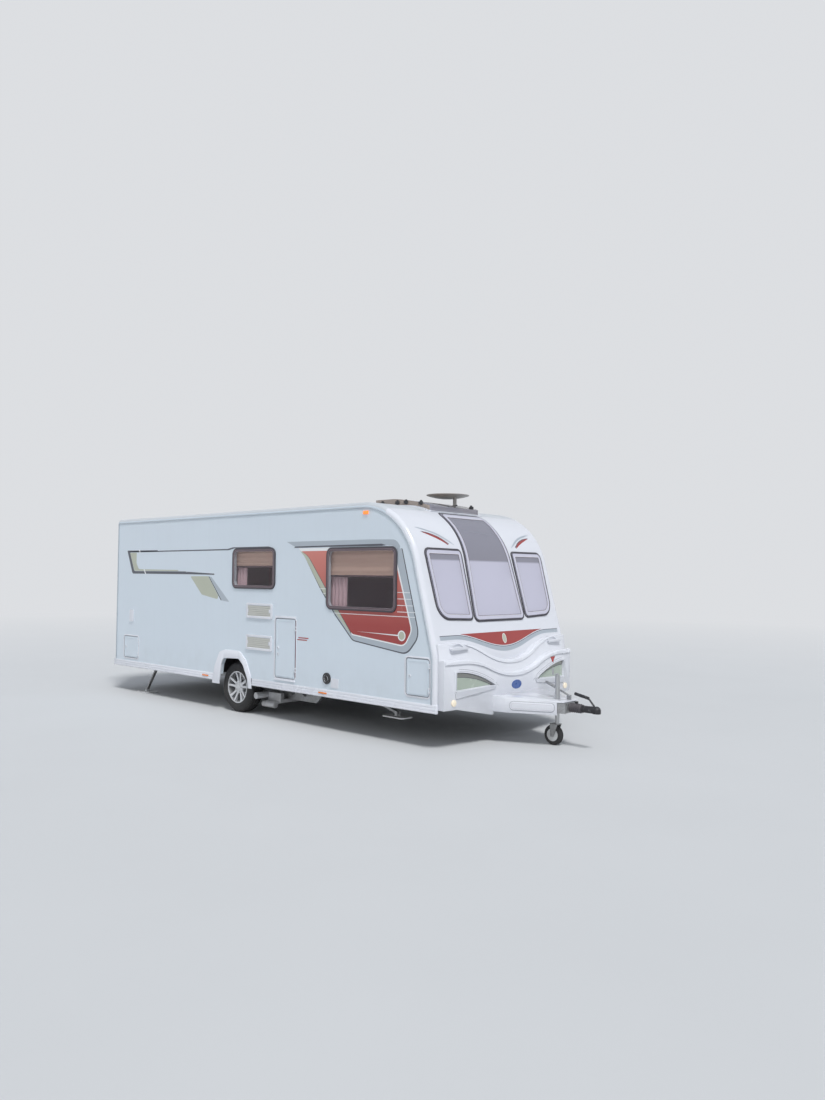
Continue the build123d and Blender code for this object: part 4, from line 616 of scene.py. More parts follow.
class CARAVAN_OT_stage(bpy.types.Operator):
    """Lays the pale floor, hangs the soft lights and sets the camera at the photograph's angle"""
    bl_idname = "caravan.stage"
    bl_label = "Stage"

    def execute(self, context):
        bpy.ops.object.select_all(action="DESELECT")
        bpy.ops.mesh.primitive_plane_add(size=240, location=(0, 0, 0))
        floor = context.object
        floor.name = "studio_floor"
        material = bpy.data.materials.new("studio_floor")
        material.use_nodes = True
        tree = material.node_tree
        place = socket(tree, "ShaderNodeTexCoord").outputs["Object"]
        tone = mixed(tree, noise(tree, place, 0.7, 4.0), (0.57, 0.58, 0.59), (0.60, 0.61, 0.62))
        tree.links.new(tone, tree.nodes["Principled BSDF"].inputs["Base Color"])
        shader = tree.nodes["Principled BSDF"]
        shader.inputs["Roughness"].default_value = 0.8
        away = socket(tree, "ShaderNodeVectorMath", operation="LENGTH", i0=place).outputs[1]
        far = spread(tree, away, 7.0, 26.0, 0.0, 1.0)
        seen = times(tree, far, socket(tree, "ShaderNodeLightPath").outputs["Is Camera Ray"])
        haze = socket(tree, "ShaderNodeEmission", Color=(*BACKDROP, 1), Strength=1.0)
        melt = socket(tree, "ShaderNodeMixShader", Fac=seen, i1=shader.outputs[0], i2=haze.outputs[0])
        tree.links.new(melt.outputs[0], tree.nodes["Material Output"].inputs["Surface"])
        floor.data.materials.append(material)

        world = bpy.data.worlds.new("studio_air")
        context.scene.world = world
        world.use_nodes = True
        tree = world.node_tree
        air = tree.nodes["Background"]
        air.inputs["Color"].default_value = (0.80, 0.86, 0.94, 1)
        air.inputs["Strength"].default_value = 0.50
        sky = socket(tree, "ShaderNodeTexCoord").outputs["Generated"]
        height = socket(tree, "ShaderNodeSeparateXYZ", Vector=sky)
        rise = spread(tree, height.outputs[2], 0.02, 0.75, 0.0, 1.0)
        path = socket(tree, "ShaderNodeLightPath")
        above = times(tree, rise, path.outputs["Is Glossy Ray"])
        shade = mixed(tree, above, BACKDROP, (0.40, 0.43, 0.50))
        seen = socket(tree, "ShaderNodeBackground", Color=shade, Strength=1.0)
        direct = times(tree, path.outputs["Is Camera Ray"], path.outputs["Is Glossy Ray"], "MAXIMUM")
        shown = times(tree, direct, path.outputs["Is Transmission Ray"], "MAXIMUM")
        blend = socket(tree, "ShaderNodeMixShader", Fac=shown, i1=air.outputs[0], i2=seen.outputs[0])
        tree.links.new(blend.outputs[0], tree.nodes["World Output"].inputs["Surface"])

        for name, kind, place, strength, spread_angle in (
            ("key_light", "SUN", (5.0, -3.0, 8.8), 2.35, 14),
            ("fill_light", "SUN", (2.5, -8.0, 3.6), 0.35, 40),
        ):
            bpy.ops.object.light_add(type=kind, location=place)
            lamp = context.object
            lamp.name = name
            lamp.data.energy = strength
            lamp.data.angle = math.radians(spread_angle)
            lamp.rotation_euler = (Vector((0, 0, 0)) - Vector(place)).to_track_quat("-Z", "Y").to_euler()

        yaw, pitch, roll = CAMERA_YAW, CAMERA_PITCH, CAMERA_ROLL
        ahead = Vector((math.cos(yaw) * math.cos(pitch), math.sin(yaw) * math.cos(pitch), math.sin(pitch)))
        right = ahead.cross(Vector((0, 0, 1))).normalized()
        up = right.cross(ahead)
        right, up = (math.cos(roll) * right + math.sin(roll) * up,
                     -math.sin(roll) * right + math.cos(roll) * up)
        bpy.ops.object.camera_add()
        camera = context.object
        camera.matrix_world = Matrix((
            (right.x, up.x, -ahead.x, CAMERA_PLACE[0]),
            (right.y, up.y, -ahead.y, CAMERA_PLACE[1]),
            (right.z, up.z, -ahead.z, CAMERA_PLACE[2]),
            (0, 0, 0, 1),
        ))
        camera.data.lens = CAMERA_LENS
        camera.data.sensor_width = SENSOR_WIDTH
        camera.data.clip_end = 400
        context.scene.camera = camera
        context.scene.view_settings.view_transform = "Standard"
        return {"FINISHED"}


class CARAVAN_OT_finishes(bpy.types.Operator):
    """Makes the finishes and gives them to the CAD nodes"""
    bl_idname = "caravan.finishes"
    bl_label = "Finishes"

    def execute(self, context):
        c = context.scene.caravan_colours
        wall, moulding = tuple(c.wall), tuple(c.moulding)
        finish("wall_paint", wall, 0.34, coat=0.25, shade=0.02, cloud=1.2, grain=260, depth=0.0004,
               relief=0.08, grime=0.16, grime_top=0.80, streaks=0.03)
        finish("roof_skin", (0.55, 0.58, 0.61), 0.42, coat=0.15, shade=0.04, cloud=1.6, grain=220,
               depth=0.0004, relief=0.10)
        finish("mould_gloss", moulding, 0.22, coat=0.5, shade=0.02, cloud=1.5, grain=90, depth=0.0003,
               relief=0.05, grime=0.14, grime_top=0.75, streaks=0.02)
        finish("trim_gloss", tinted(moulding, 0.98), 0.28, coat=0.3, shade=0.03, cloud=2.5, grain=200,
               relief=0.10, grime=0.22, grime_top=0.70)
        finish("red_sticker", tuple(c.red), 0.3, coat=0.3, shade=0.08, cloud=2.0, grain=300, relief=0.06,
               gradient=(1.15, 2.0, tuple(c.salmon)))
        finish("front_red", tuple(c.red), 0.3, coat=0.3, shade=0.08, cloud=2.0, grain=300, relief=0.06)
        finish("silver_sticker", tuple(c.silver), 0.34, metal=0.25, coat=0.2, shade=0.06, cloud=1.6,
               grain=500, relief=0.05)
        finish("charcoal_sticker", tuple(c.charcoal), 0.36, coat=0.2, shade=0.1, grain=300, relief=0.06)
        finish("khaki_sticker", tuple(c.khaki), 0.36, coat=0.15, shade=0.05, grain=300, relief=0.06)
        finish("white_sticker", (0.80, 0.81, 0.82), 0.32, coat=0.2, shade=0.02, grain=300, relief=0.05)
        finish("front_acrylic", tuple(c.front_glass), 0.05, coat=1.0, shade=0.05, cloud=1.1, grain=5,
               depth=0.002, relief=0.02, solid=0.60,
               gradient=(1.815, 1.835, tinted(tuple(c.front_glass), 0.50)))
        finish("side_acrylic", tuple(c.side_glass), 0.05, coat=1.0, shade=0.15, cloud=2.3, grain=5,
               depth=0.002, relief=0.02, solid=0.20)
        finish("pane_rim", tinted(tuple(c.front_glass), 0.80), 0.12, coat=0.8, shade=0.08, cloud=3, grain=200,
               relief=0.03)
        # Pale grey of the beads round the front panes, and of the ring painted as the highlight on the
        # drawbar cover's raised panels
        finish("pane_line", (0.64, 0.63, 0.68), 0.25, coat=0.5, shade=0.05, cloud=3, grain=200, relief=0.03)
        finish("blind_cloth", (0.82, 0.80, 0.84), 0.9, shade=0.05, cloud=4, grain=700, depth=0.0006,
               relief=0.5)
        finish("curtain_cloth", (0.80, 0.58, 0.62), 0.92, shade=0.12, cloud=6, grain=900, depth=0.0006,
               relief=0.5)
        # Peach of the side blinds, painted as the reflection of the warm sky in the side panes
        finish("warm_blind", (0.98, 0.64, 0.52), 0.9, shade=0.16, cloud=3.2, grain=700, depth=0.0006,
               relief=0.5)
        finish("vent_beige", (0.58, 0.58, 0.54), 0.45, shade=0.05, cloud=14, grain=260, relief=0.25,
               grime=0.15)
        # Dark beige painted as the shade and dark reflection under the intakes' top arches
        finish("shade_beige", (0.34, 0.34, 0.31), 0.3, coat=0.3, shade=0.06, cloud=5, grain=200, relief=0.05)
        finish("inset_green", (0.40, 0.46, 0.39), 0.25, coat=0.5, shade=0.06, cloud=5, grain=200, relief=0.05)
        finish("plate_white", (0.74, 0.74, 0.72), 0.35, coat=0.3, shade=0.03, cloud=6, grain=400, relief=0.1,
               grime=0.3)
        finish("reveal_maroon", (0.13, 0.035, 0.045), 0.4, coat=0.2, shade=0.12, cloud=8, grain=260,
               relief=0.1)
        finish("clear_lens", (0.75, 0.76, 0.78), 0.1, coat=0.9, shade=0.06, cloud=30, grain=200, relief=0.2)
        finish("window_rubber", tuple(c.rubber), 0.62, shade=0.2, cloud=14, grain=400, relief=0.3)
        finish("window_border", (0.095, 0.062, 0.075), 0.2, coat=0.35, shade=0.15, grain=300, relief=0.04)
        finish("border_line", (0.24, 0.20, 0.22), 0.3, coat=0.3, shade=0.08, cloud=3, grain=200, relief=0.03)
        # Grey of the doors' gap seals, and of the lines painted as the shadows of lips, grooves, beads and
        # raised frames
        finish("seam_grey", (0.30, 0.31, 0.34), 0.6, shade=0.12, cloud=14, grain=300, relief=0.2)
        finish("skirt_gloss", tinted(moulding, 1.05), 0.26, coat=0.3, shade=0.015, cloud=1.5, grain=120,
               depth=0.0003, relief=0.05, grime=0.10, grime_top=0.5)
        finish("liner", (0.045, 0.045, 0.048), 0.75, shade=0.25, cloud=8, grain=160, depth=0.001,
               relief=0.4, grime=0.3)
        finish("hinge_plastic", tinted(moulding, 0.95), 0.42, shade=0.04, cloud=20, grain=400, relief=0.2,
               grime=0.2)
        finish("red_lens", (0.42, 0.012, 0.010), 0.12, coat=0.8, shade=0.12, cloud=40, grain=300,
               depth=0.0006, relief=0.3)
        finish("amber_lens", (0.80, 0.22, 0.02), 0.12, coat=0.8, shade=0.10, cloud=40, grain=300,
               depth=0.0006, relief=0.3)
        finish("lit_amber", (0.95, 0.20, 0.03), 0.2, coat=0.6, shade=0.18, cloud=60, grain=300, glow=0.9)
        finish("lit_white", (0.86, 0.76, 0.60), 0.2, coat=0.6, shade=0.12, cloud=60, grain=300, glow=0.16)
        finish("rail_plastic", tinted(wall, 0.72), 0.4, shade=0.03, cloud=5, grain=300, relief=0.15,
               grime=0.1)
        finish("zinc", (0.42, 0.43, 0.44), 0.42, metal=0.85, shade=0.15, cloud=9, grain=200, relief=0.25,
               spangle=0.5, grime=0.5, grime_top=0.7)
        finish("bellows_rubber", tuple(c.rubber), 0.55, shade=0.2, cloud=25, grain=300, relief=0.3,
               grime=0.25)
        finish("cast_black", (0.035, 0.035, 0.038), 0.45, metal=0.3, shade=0.2, cloud=30, grain=260,
               depth=0.0008, relief=0.5, edge_wear=0.35)
        finish("tyre_rubber", (0.016, 0.016, 0.018), 0.70, shade=0.25, cloud=12, grain=420, depth=0.0004,
               relief=0.45, grime=0.12, grime_top=0.75)
        finish("alloy", tuple(c.alloy), 0.32, metal=0.45, coat=0.35, shade=0.06, cloud=10, grain=300,
               relief=0.08, grime=0.18, grime_top=0.7)
        finish("mover_metal", (0.62, 0.63, 0.65), 0.4, metal=0.45, shade=0.12, cloud=12, grain=220,
               relief=0.25, grime=0.5, grime_top=0.6)
        finish("foot_plastic", (0.66, 0.67, 0.68), 0.5, shade=0.05, cloud=14, grain=260, relief=0.25,
               grime=0.5, grime_top=0.4)
        finish("smoked_dome", (0.36, 0.30, 0.26), 0.16, coat=0.8, shade=0.12, cloud=4, grain=14,
               depth=0.001, relief=0.08, clear=0.2)
        finish("dish_paint", (0.40, 0.38, 0.36), 0.45, shade=0.05, cloud=6, grain=300, relief=0.2)
        finish("floor_board", (0.05, 0.048, 0.045), 0.8, shade=0.3, cloud=5, grain=80, depth=0.001,
               relief=0.4, grime=0.3)
        finish("steel_tube", (0.50, 0.51, 0.52), 0.3, metal=0.9, shade=0.08, cloud=18, grain=300,
               relief=0.15, grime=0.2)
        finish("disc_blue", (0.05, 0.11, 0.33), 0.3, coat=0.4, shade=0.1, cloud=30, grain=300, relief=0.1)
        by_slot = {
            "floor": "floor_board", "wall_white": "wall_paint", "mould_white": "mould_gloss",
            "window_tint": "side_acrylic", "trim_white": "trim_gloss", "liner_black": "liner",
            "hinge_white": "hinge_plastic", "lens_red": "red_lens", "lens_amber": "amber_lens",
            "rail_white": "rail_plastic", "galvanised": "zinc", "bellows_black": "bellows_rubber",
            "coupling_black": "cast_black", "tyre_black": "tyre_rubber", "alloy_silver": "alloy",
            "mover_alloy": "mover_metal", "pad_white": "foot_plastic", "rooflight_smoke": "smoked_dome",
            "dish_grey": "dish_paint",
        }
        special = {"front_windows": "front_acrylic", "jockey_tube": "steel_tube",
                   "jockey_inner": "steel_tube"}
        for node, obj in NODES.items():
            for entry in obj.material_slots:
                entry.material = bpy.data.materials[special.get(node) or by_slot[entry.material.name]]
        return {"FINISHED"}


# Operators: the body

def window_cutter(side):
    """One cutter for a side's panes, each a little smaller, and for the entrance door's frame."""
    holes = [(*pane[1:], PANE_CORNER, 0.006) for pane in SIDE_PANES.values() if pane[0] == side]
    if side == NEARSIDE:
        holes.append((*DOORS["entrance_door"][1:], 0.025, -0.028))
    parts = []
    for rear, front, sill, head, corner, amount in holes:
        outline = inset(oblong(rear, front, sill, head, corner), amount)
        parts.append(side_plate([outline], side, 0.05, 0.02))
    return join(parts)


# Fine white lines beside the lounge window: rear, front and lower edge
PIN_WIDTH = 0.006
SIDE_PINS = {
    "pin_sill": (4.64, 5.80, 1.256),
    "pin_right_a": (5.56, 5.80, 1.302),
    "pin_right_b": (5.56, 5.77, 1.366),
    "pin_right_c": (5.56, 5.75, 1.430),
    "pin_right_d": (5.56, 5.73, 1.494),
    "pin_left_a": (4.41, 4.53, 1.510),
    "pin_left_b": (4.46, 4.53, 1.460),
    "pin_left_c": (4.50, 4.53, 1.410),
}

# Stickers of the side walls: name, finish, layer, outline rows of (station, height, corner radius)
SIDE_STICKERS = [
    ("line_top_rear", "charcoal_sticker", 0,
     [(0.38, 1.948, 0), (2.72, 1.950, 0), (2.84, 1.971, 0), (3.56, 1.971, 0), (3.50, 1.984, 0),
      (2.80, 1.984, 0), (2.70, 1.966, 0), (0.38, 1.962, 0)]),
    ("bracket_dark", "charcoal_sticker", 0,
     [(0.300, 1.975, 0.01), (0.452, 1.652, 0.05), (1.838, 1.652, 0.005), (1.790, 1.688, 0.01),
      (0.500, 1.688, 0.04), (0.372, 1.951, 0.015), (1.10, 1.951, 0.002), (1.10, 1.971, 0.002)]),
    ("bracket_khaki", "khaki_sticker", 1,
     [(0.378, 1.943, 0.01), (0.503, 1.692, 0.03), (1.62, 1.692, 0.002), (1.60, 1.706, 0.002),
      (0.62, 1.714, 0.05), (0.552, 1.800, 0.06), (0.556, 1.943, 0.01)]),
    ("slit_low", "white_sticker", 2,
     [(0.745, 1.715, 0), (0.770, 1.715, 0), (0.815, 1.650, 0), (0.790, 1.650, 0)]),
    ("slit_high", "white_sticker", 2,
     [(0.615, 1.985, 0), (0.640, 1.985, 0), (0.655, 1.945, 0), (0.630, 1.945, 0)]),
    ("line_low_rear", "charcoal_sticker", 0,
     [(1.810, 1.652, 0), (2.433, 1.648, 0), (2.420, 1.664, 0), (1.810, 1.684, 0)]),
    ("wedge_khaki", "khaki_sticker", 0,
     [(1.898, 1.626, 0.01), (2.297, 1.630, 0.03), (2.565, 1.340, 0.03), (2.164, 1.398, 0.05)]),
    ("wedge_edge", "charcoal_sticker", 0,
     [(2.300, 1.630, 0.004), (2.318, 1.630, 0.004), (2.600, 1.334, 0.004), (2.574, 1.338, 0.004)]),
    ("wedge_tail", "silver_sticker", 0,
     [(2.328, 1.626, 0.004), (2.365, 1.622, 0.004), (2.751, 1.322, 0.004), (2.610, 1.333, 0.004)]),
    ("line_top_front", "charcoal_sticker", 5,
     [(3.963, 1.960, 0), (4.60, 1.964, 0), (5.330, 1.962, 0), (5.395, 1.968, 0), (5.330, 1.984, 0),
      (4.60, 1.980, 0), (3.978, 1.976, 0)]),
    ("top_band", "silver_sticker", 1,
     [(3.832, 2.030, 0), (3.985, 1.968, 0.02), (5.47, 1.968, 0.01), (5.55, 1.93, 0.01),
      (5.612, 1.93, 0.02), (5.535, 2.022, 0.10), (5.20, 2.030, 0.2)]),
    ("panel_dark", "charcoal_sticker", 0,
     [(4.080, 1.932, 0.005), (4.145, 1.858, 0.25), (4.410, 1.508, 0.3), (4.655, 1.229, 0.2),
      (4.925, 0.980, 0.10), (5.700, 0.888, 0.14), (5.862, 1.077, 0.16), (5.622, 1.932, 0.01)]),
    ("panel_silver", "silver_sticker", 1,
     [(4.085, 1.932, 0.005), (4.150, 1.860, 0.25), (4.418, 1.518, 0.3), (4.667, 1.238, 0.2),
      (4.932, 0.991, 0.10), (5.690, 0.902, 0.14), (5.847, 1.080, 0.15), (5.610, 1.932, 0.01)]),
    ("panel_khaki", "khaki_sticker", 2,
     [(4.062, 1.930, 0.005), (4.140, 1.864, 0.25), (4.407, 1.528, 0.3), (4.670, 1.250, 0.2),
      (4.880, 1.062, 0.005), (4.930, 1.050, 0.005), (4.50, 1.508, 0.3), (4.205, 1.872, 0.25),
      (4.095, 1.930, 0.005)]),
    ("panel_line", "charcoal_sticker", 3,
     [(4.075, 1.926, 0.005), (4.200, 1.868, 0.25), (4.497, 1.515, 0.3), (4.907, 1.050, 0.01),
      (5.0, 1.3, 0.01), (4.60, 1.926, 0.005)]),
    ("panel_white", "white_sticker", 4,
     [(4.040, 1.955, 0.002), (4.085, 1.918, 0.02), (4.55, 1.908, 0.02), (4.915, 1.040, 0.01),
      (5.665, 0.963, 0.10), (5.768, 1.128, 0.11), (5.500, 1.955, 0.01)]),
    ("panel_red", "red_sticker", 5,
     [(4.085, 1.922, 0.005), (4.210, 1.868, 0.25), (4.507, 1.515, 0.3), (4.918, 1.052, 0.08),
      (5.662, 0.978, 0.09), (5.752, 1.130, 0.10), (5.492, 1.922, 0.02)]),
    *((name, "white_sticker", 6, oblong(rear, front, low, low + PIN_WIDTH, 0))
      for name, (rear, front, low) in SIDE_PINS.items()),
    ("comet_line", "white_sticker", 6, [(4.98, 1.083, 0), (5.58, 1.066, 0), (5.58, 1.078, 0)]),
    ("dash_high", "red_sticker", 0,
     [(4.06, 0.958, 0.002), (4.23, 0.958, 0.002), (4.225, 0.971, 0.002), (4.055, 0.971, 0.002)]),
    ("dash_low", "red_sticker", 0,
     [(4.04, 0.936, 0.002), (4.205, 0.936, 0.002), (4.20, 0.949, 0.002), (4.035, 0.949, 0.002)]),
]
RING_CENTRE = (5.625, 1.072)


class CARAVAN_OT_side_stickers(bpy.types.Operator):
    """Lays the stickers on both side walls, cut clear of the panes"""
    bl_idname = "caravan.side_stickers"
    bl_label = "Side stickers"

    def execute(self, context):
        thick = context.scene.caravan_sizes.sticker
        for label, side in SIDES.items():
            cutter = window_cutter(side)
            sets = {}
            for name, material, layer, corners in SIDE_STICKERS:
                if side == NEARSIDE and name in ("dash_high", "dash_low"):
                    continue
                if side == NEARSIDE and name == "line_top_rear":
                    corners = [(min(u, 3.42), v - 0.021 if v > 1.967 else v, r) for u, v, r in corners]
                proud = 0.0003 * (layer + 1)
                obj = side_plate([rounded(corners)], side, thick + proud, proud)
                apply_modifier(obj, "BOOLEAN", operation="DIFFERENCE", object=cutter, solver="EXACT")
                sets.setdefault(material, []).append(obj)
            bpy.data.objects.remove(cutter)
            disc = ellipse(RING_CENTRE, 0.052, 0.052)
            sets["white_sticker"].append(side_plate([disc, widened(disc, -0.012)], side, thick, 0.0026))
            sets["khaki_sticker"].append(side_plate([widened(disc, -0.012)], side, thick, 0.0026))
            for material, objs in sets.items():
                hand_over(join(objs), f"{material}_{label}", material, smooth=0)
        return {"FINISHED"}


class CARAVAN_OT_side_seals(bpy.types.Operator):
    """Fits a rubber seal, a dark rim and a pale bead to each side pane and to the door's pane"""
    bl_idname = "caravan.side_seals"
    bl_label = "Side window seals"

    def execute(self, context):
        s = context.scene.caravan_sizes
        panes = {name: (*row, PANE_CORNER, PANE_PROUD, "caravan") for name, row in SIDE_PANES.items()}
        low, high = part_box("door_window")
        panes["door_pane"] = (NEARSIDE, low[0] - REAR_WALL, high[0] - REAR_WALL, low[2], high[2], PANE_CORNER,
                              high[1] - HALF, "entrance_door")
        for name, (side, rear, front, sill, head, corner, proud, body) in panes.items():
            pane = oblong(rear, front, sill, head, corner)
            wall = proud - PANE_PROUD
            seal = side_plate(frame_plate(pane, -0.6 * s.seal, 0.4 * s.seal), side, 0.013, wall + 0.0132)
            ease(seal, 0.003)
            hand_over(seal, name + "_seal", "window_rubber", body)
            rim = side_plate(frame_plate(pane, 0.4 * s.seal, s.border), side, 0.0012, proud + 0.0006)
            hand_over(rim, name + "_rim", "window_border", body)
            for label, near in (("bead", 0.014), ("inner_bead", s.border)):
                bead = side_plate(frame_plate(pane, near, near + 0.0030), side, 0.0012, proud + 0.0012)
                hand_over(bead, f"{name}_{label}", "border_line", body)
        return {"FINISHED"}


class CARAVAN_OT_front_seals(bpy.types.Operator):
    """Fits the seals, wide tinted rims and pale beads of the three curved front panes"""
    bl_idname = "caravan.front_seals"
    bl_label = "Front window seals"

    def execute(self, context):
        s = context.scene.caravan_sizes
        panes = {"front_centre": FRONT_CENTRE_PANE, "front_nearside": FRONT_SIDE_PANE,
                 "front_offside": [(-u, v, r) for u, v, r in FRONT_SIDE_PANE][::-1]}
        wide = 1.3 * s.border
        for name, pane in panes.items():
            outer = [Vector((p.x, min(p.y, FRONT_SEAL_TOP))) for p in inset(pane, -0.9 * s.seal)]
            ring = front_plate([outer, inset(pane, -0.001)], "front_panel", 0.009, 0.0095, 0.025, 2.0)
            ease(ring, 0.0025, 2)
            hand_over(ring, name + "_seal", "window_rubber")
            for label, material, near, far, proud in (
                ("rim", "pane_rim", 0.002, wide, 0.0008),
                ("edge", "window_rubber", 0.002, 0.009, 0.0018),
                ("bead", "pane_line", wide, wide + 0.006, 0.0018),
                ("groove", "window_border", wide + 0.006, wide + 0.010, 0.0014),
            ):
                strip = front_plate(frame_plate(pane, near, far), "front_windows", proud, 0.0016, 0.018, 3.0)
                hand_over(strip, f"{name}_{label}", material)
        return {"FINISHED"}


def bell(across, half):
    """A smooth dip, 1 in the middle and 0 from half outwards."""
    return 0.5 + 0.5 * math.cos(math.pi * min(1.0, abs(across) / half))


def between_lines(half, upper, lower, steps=44):
    """The outline between two lines of height over the span across the front."""
    spans = [half * (2 * k / steps - 1) for k in range(steps + 1)]
    return [Vector((y, lower(y))) for y in spans] + [Vector((y, upper(y))) for y in spans[::-1]]


def dip_line(y, edge, dip):
    """Height of a step of the front moulding, flat towards the corners and dipped on tangent arcs."""
    flat, drop = STEP_FLAT, edge - dip
    radius = (flat ** 2 + drop ** 2) / (4 * drop)
    if abs(y) >= flat:
        return edge
    if abs(y) >= flat / 2:
        return edge - radius + math.sqrt(radius ** 2 - (flat - abs(y)) ** 2)
    return dip + radius - math.sqrt(radius ** 2 - y ** 2)


# Brow strokes above the front side panes: rows of (across, height, width)
BROWS = {
    "line": [(0.985, 2.150, 0.003), (0.88, 2.133, 0.015), (0.72, 2.094, 0.019), (0.60, 2.040, 0.019),
             (0.50, 1.985, 0.005)],
    "red": [(0.920, 2.104, 0.004), (0.80, 2.076, 0.021), (0.68, 2.034, 0.024), (0.595, 1.985, 0.010)],
    "edge": [(0.930, 2.112, 0.004), (0.80, 2.088, 0.012), (0.68, 2.048, 0.014), (0.580, 1.992, 0.008)],
}


class CARAVAN_OT_front_stickers(bpy.types.Operator):
    """Lays the red crescent, the silver wave band, the brow strokes and the plain discs on the front"""
    bl_idname = "caravan.front_stickers"
    bl_label = "Front stickers"

    def execute(self, context):
        thick = context.scene.caravan_sizes.sticker * 2

        def band_top(y):
            return 1.081 - 0.141 * bell(y, 0.80)

        def band_low(y):
            return 1.043 - 0.150 * bell(y, 0.80)

        stickers = [
            ("front_wave", "silver_sticker", "front_panel",
             [between_lines(1.024, band_top, band_low)], 0.0009),
            ("front_wave_line", "charcoal_sticker", "front_panel",
             [between_lines(1.024, lambda y: band_top(y) + 0.004, lambda y: band_top(y) - 0.002)], 0.0012),
            ("front_crescent", "front_red", "front_panel",
             [between_lines(0.70, lambda y: 1.0915, lambda y: min(1.091, band_top(y) + 0.013))], 0.0012),
        ]
        disc = ellipse((0, 1.022), 0.034, 0.050)
        centre = widened(disc, -0.006)
        stickers += [("front_disc", "khaki_sticker", "front_panel", [centre], 0.0018),
                     ("front_disc_ring", "white_sticker", "front_panel", [disc, centre], 0.0018)]
        for label, side in SIDES.items():
            high, low, edge = (stroke([(side * u, v, width) for u, v, width in BROWS[name]])
                               for name in ("line", "red", "edge"))
            stickers += [("brow_line_" + label, "silver_sticker", "front_panel", [high], 0.0009),
                         ("brow_edge_" + label, "charcoal_sticker", "front_panel", [edge], 0.0009),
                         ("brow_red_" + label, "front_red", "front_panel", [low], 0.0013)]
            rims = arc_through((0.938, 0.741), (0.700, 0.711), (0.369, 0.584))
            lows = arc_through((0.934, 0.698), (0.700, 0.674), (0.410, 0.587))
            # Under the intake's top arch: a beige band painted as shade and dark reflection, and two charcoal
            # lines painted as the shadows of its steps
            zones = [
                ("intake_inset_", "inset_green", lows + [Vector((0.936, 0.569))], 0.0009),
                ("intake_shade_", "shade_beige", rims + lows[::-1], 0.0012),
                ("intake_rim_line_", "charcoal_sticker",
                 rims + [p - Vector((0.002, 0.0065)) for p in rims[::-1]], 0.0018),
                ("intake_low_line_", "charcoal_sticker",
                 lows + [p - Vector((0.002, 0.0055)) for p in lows[::-1]], 0.0018),
            ]
            # Grey lines painted as the shadows along the intake's raised frames: round the opening, under the
            # sill and at the outer end
            opening = rims + [Vector((0.941, 0.565))]
            for line, step, width in (("inner", 0.012, 0.0026), ("outer", 0.029, 0.0034)):
                outer = widened(opening, step + width)
                zones.append((f"intake_{line}_line_", "seam_grey",
                              stroke([(p.x, p.y, width) for p in outer[1:19]], 1), 0.0006))
            sill = [(0.944, 0.4890, 0.0036), (0.650, 0.5185, 0.0036), (0.366, 0.5435, 0.0030)]
            end = [(0.9475, 0.745, 0.0030), (0.9475, 0.620, 0.0036), (0.9475, 0.492, 0.0036)]
            zones += [("intake_sill_line_", "seam_grey", stroke(sill, 2), 0.0006),
                      ("intake_end_line_", "seam_grey", stroke(end, 2), 0.0006)]
            for piece, material, outline, proud in zones:
                if side == OFFSIDE:
                    outline = mirrored(outline)
                stickers.append((piece + label, material, "front_moulding", [outline], proud))
        triangle = rounded([(0.652, 0.797, 0.004), (0.700, 0.728, 0.004), (0.748, 0.797, 0.004)])
        stickers.append(("front_triangle", "red_lens", "front_moulding", [triangle], 0.004))
        for name, material, node, outlines, proud in stickers:
            obj = front_plate(outlines, node, proud, thick + (0.003 if name == "front_triangle" else 0), 0.02)
            hand_over(obj, name, material)
        for name, edge, dip, half, deep, proud in (("step", 1.010, 0.810, 0.745, 0.034, 0.008),
                                                   ("ridge", 0.860, 0.690, 1.092, 0.040, 0.010)):
            def lip_low(y):
                share = min(1.0, (half - abs(y)) / 0.25) if name == "step" else 1.0
                return dip_line(y, edge, dip) - 0.006 - (deep - 0.006) * max(0.0, share) ** 0.7

            lip = front_plate([between_lines(half, lambda y: dip_line(y, edge, dip) - 0.003, lip_low, 72)],
                              "front_moulding", proud, proud + 0.004, 0.03)
            ease(lip, 0.005, 3, 0.9)
            hand_over(lip, name + "_lip", "skirt_gloss", smooth=50)
            # Under each lip, a grey line painted as its shadow
            line = between_lines(half - 0.02, lambda y: lip_low(y) + 0.002,
                                 lambda y: lip_low(y) - 0.0025, 72)
            seam = front_plate([line], "front_moulding", 0.0012, 0.0016, 0.03)
            hand_over(seam, name + "_seam", "seam_grey")
        # Round each raised side panel of the drawbar cover: a grey ring painted as the shade of its groove,
        # and a pale ring painted as the highlight on its edge
        panel = oblong(6.378, 6.768, 0.352, 0.432, 0.030)
        for name, outer, inner, material, proud in (("seam", -0.006, -0.002, "seam_grey", 0.0010),
                                                    ("bead", 0.012, 0.017, "pane_line", 0.0012)):
            ring = side_plate(frame_plate(panel, outer, inner), NEARSIDE, 0, 0.1)
            pressed(ring, "drawbar_cover", 1, proud, 0.0014, 0.05)
            twin = copy_piece(ring, f"cover_{name}_offside", mirror=True)
            hand_over(ring, f"cover_{name}_nearside", material)
            hand_over(twin, f"cover_{name}_offside", material)
        profile = [(0.0, -0.006), (0.046, -0.006), (0.046, 0.003), (0.043, 0.0055), (0.039, 0.0048),
                   (0.0, 0.0075)]
        badge = lathe(profile, 64)
        badge.rotation_euler = (0, 0, -math.pi / 2)
        settle(badge)
        badge.scale = (1, 1.85, 1)
        badge.location = (along(6.2045), 0, 0.557)
        hand_over(badge, "front_round_disc", "disc_blue")
        return {"FINISHED"}


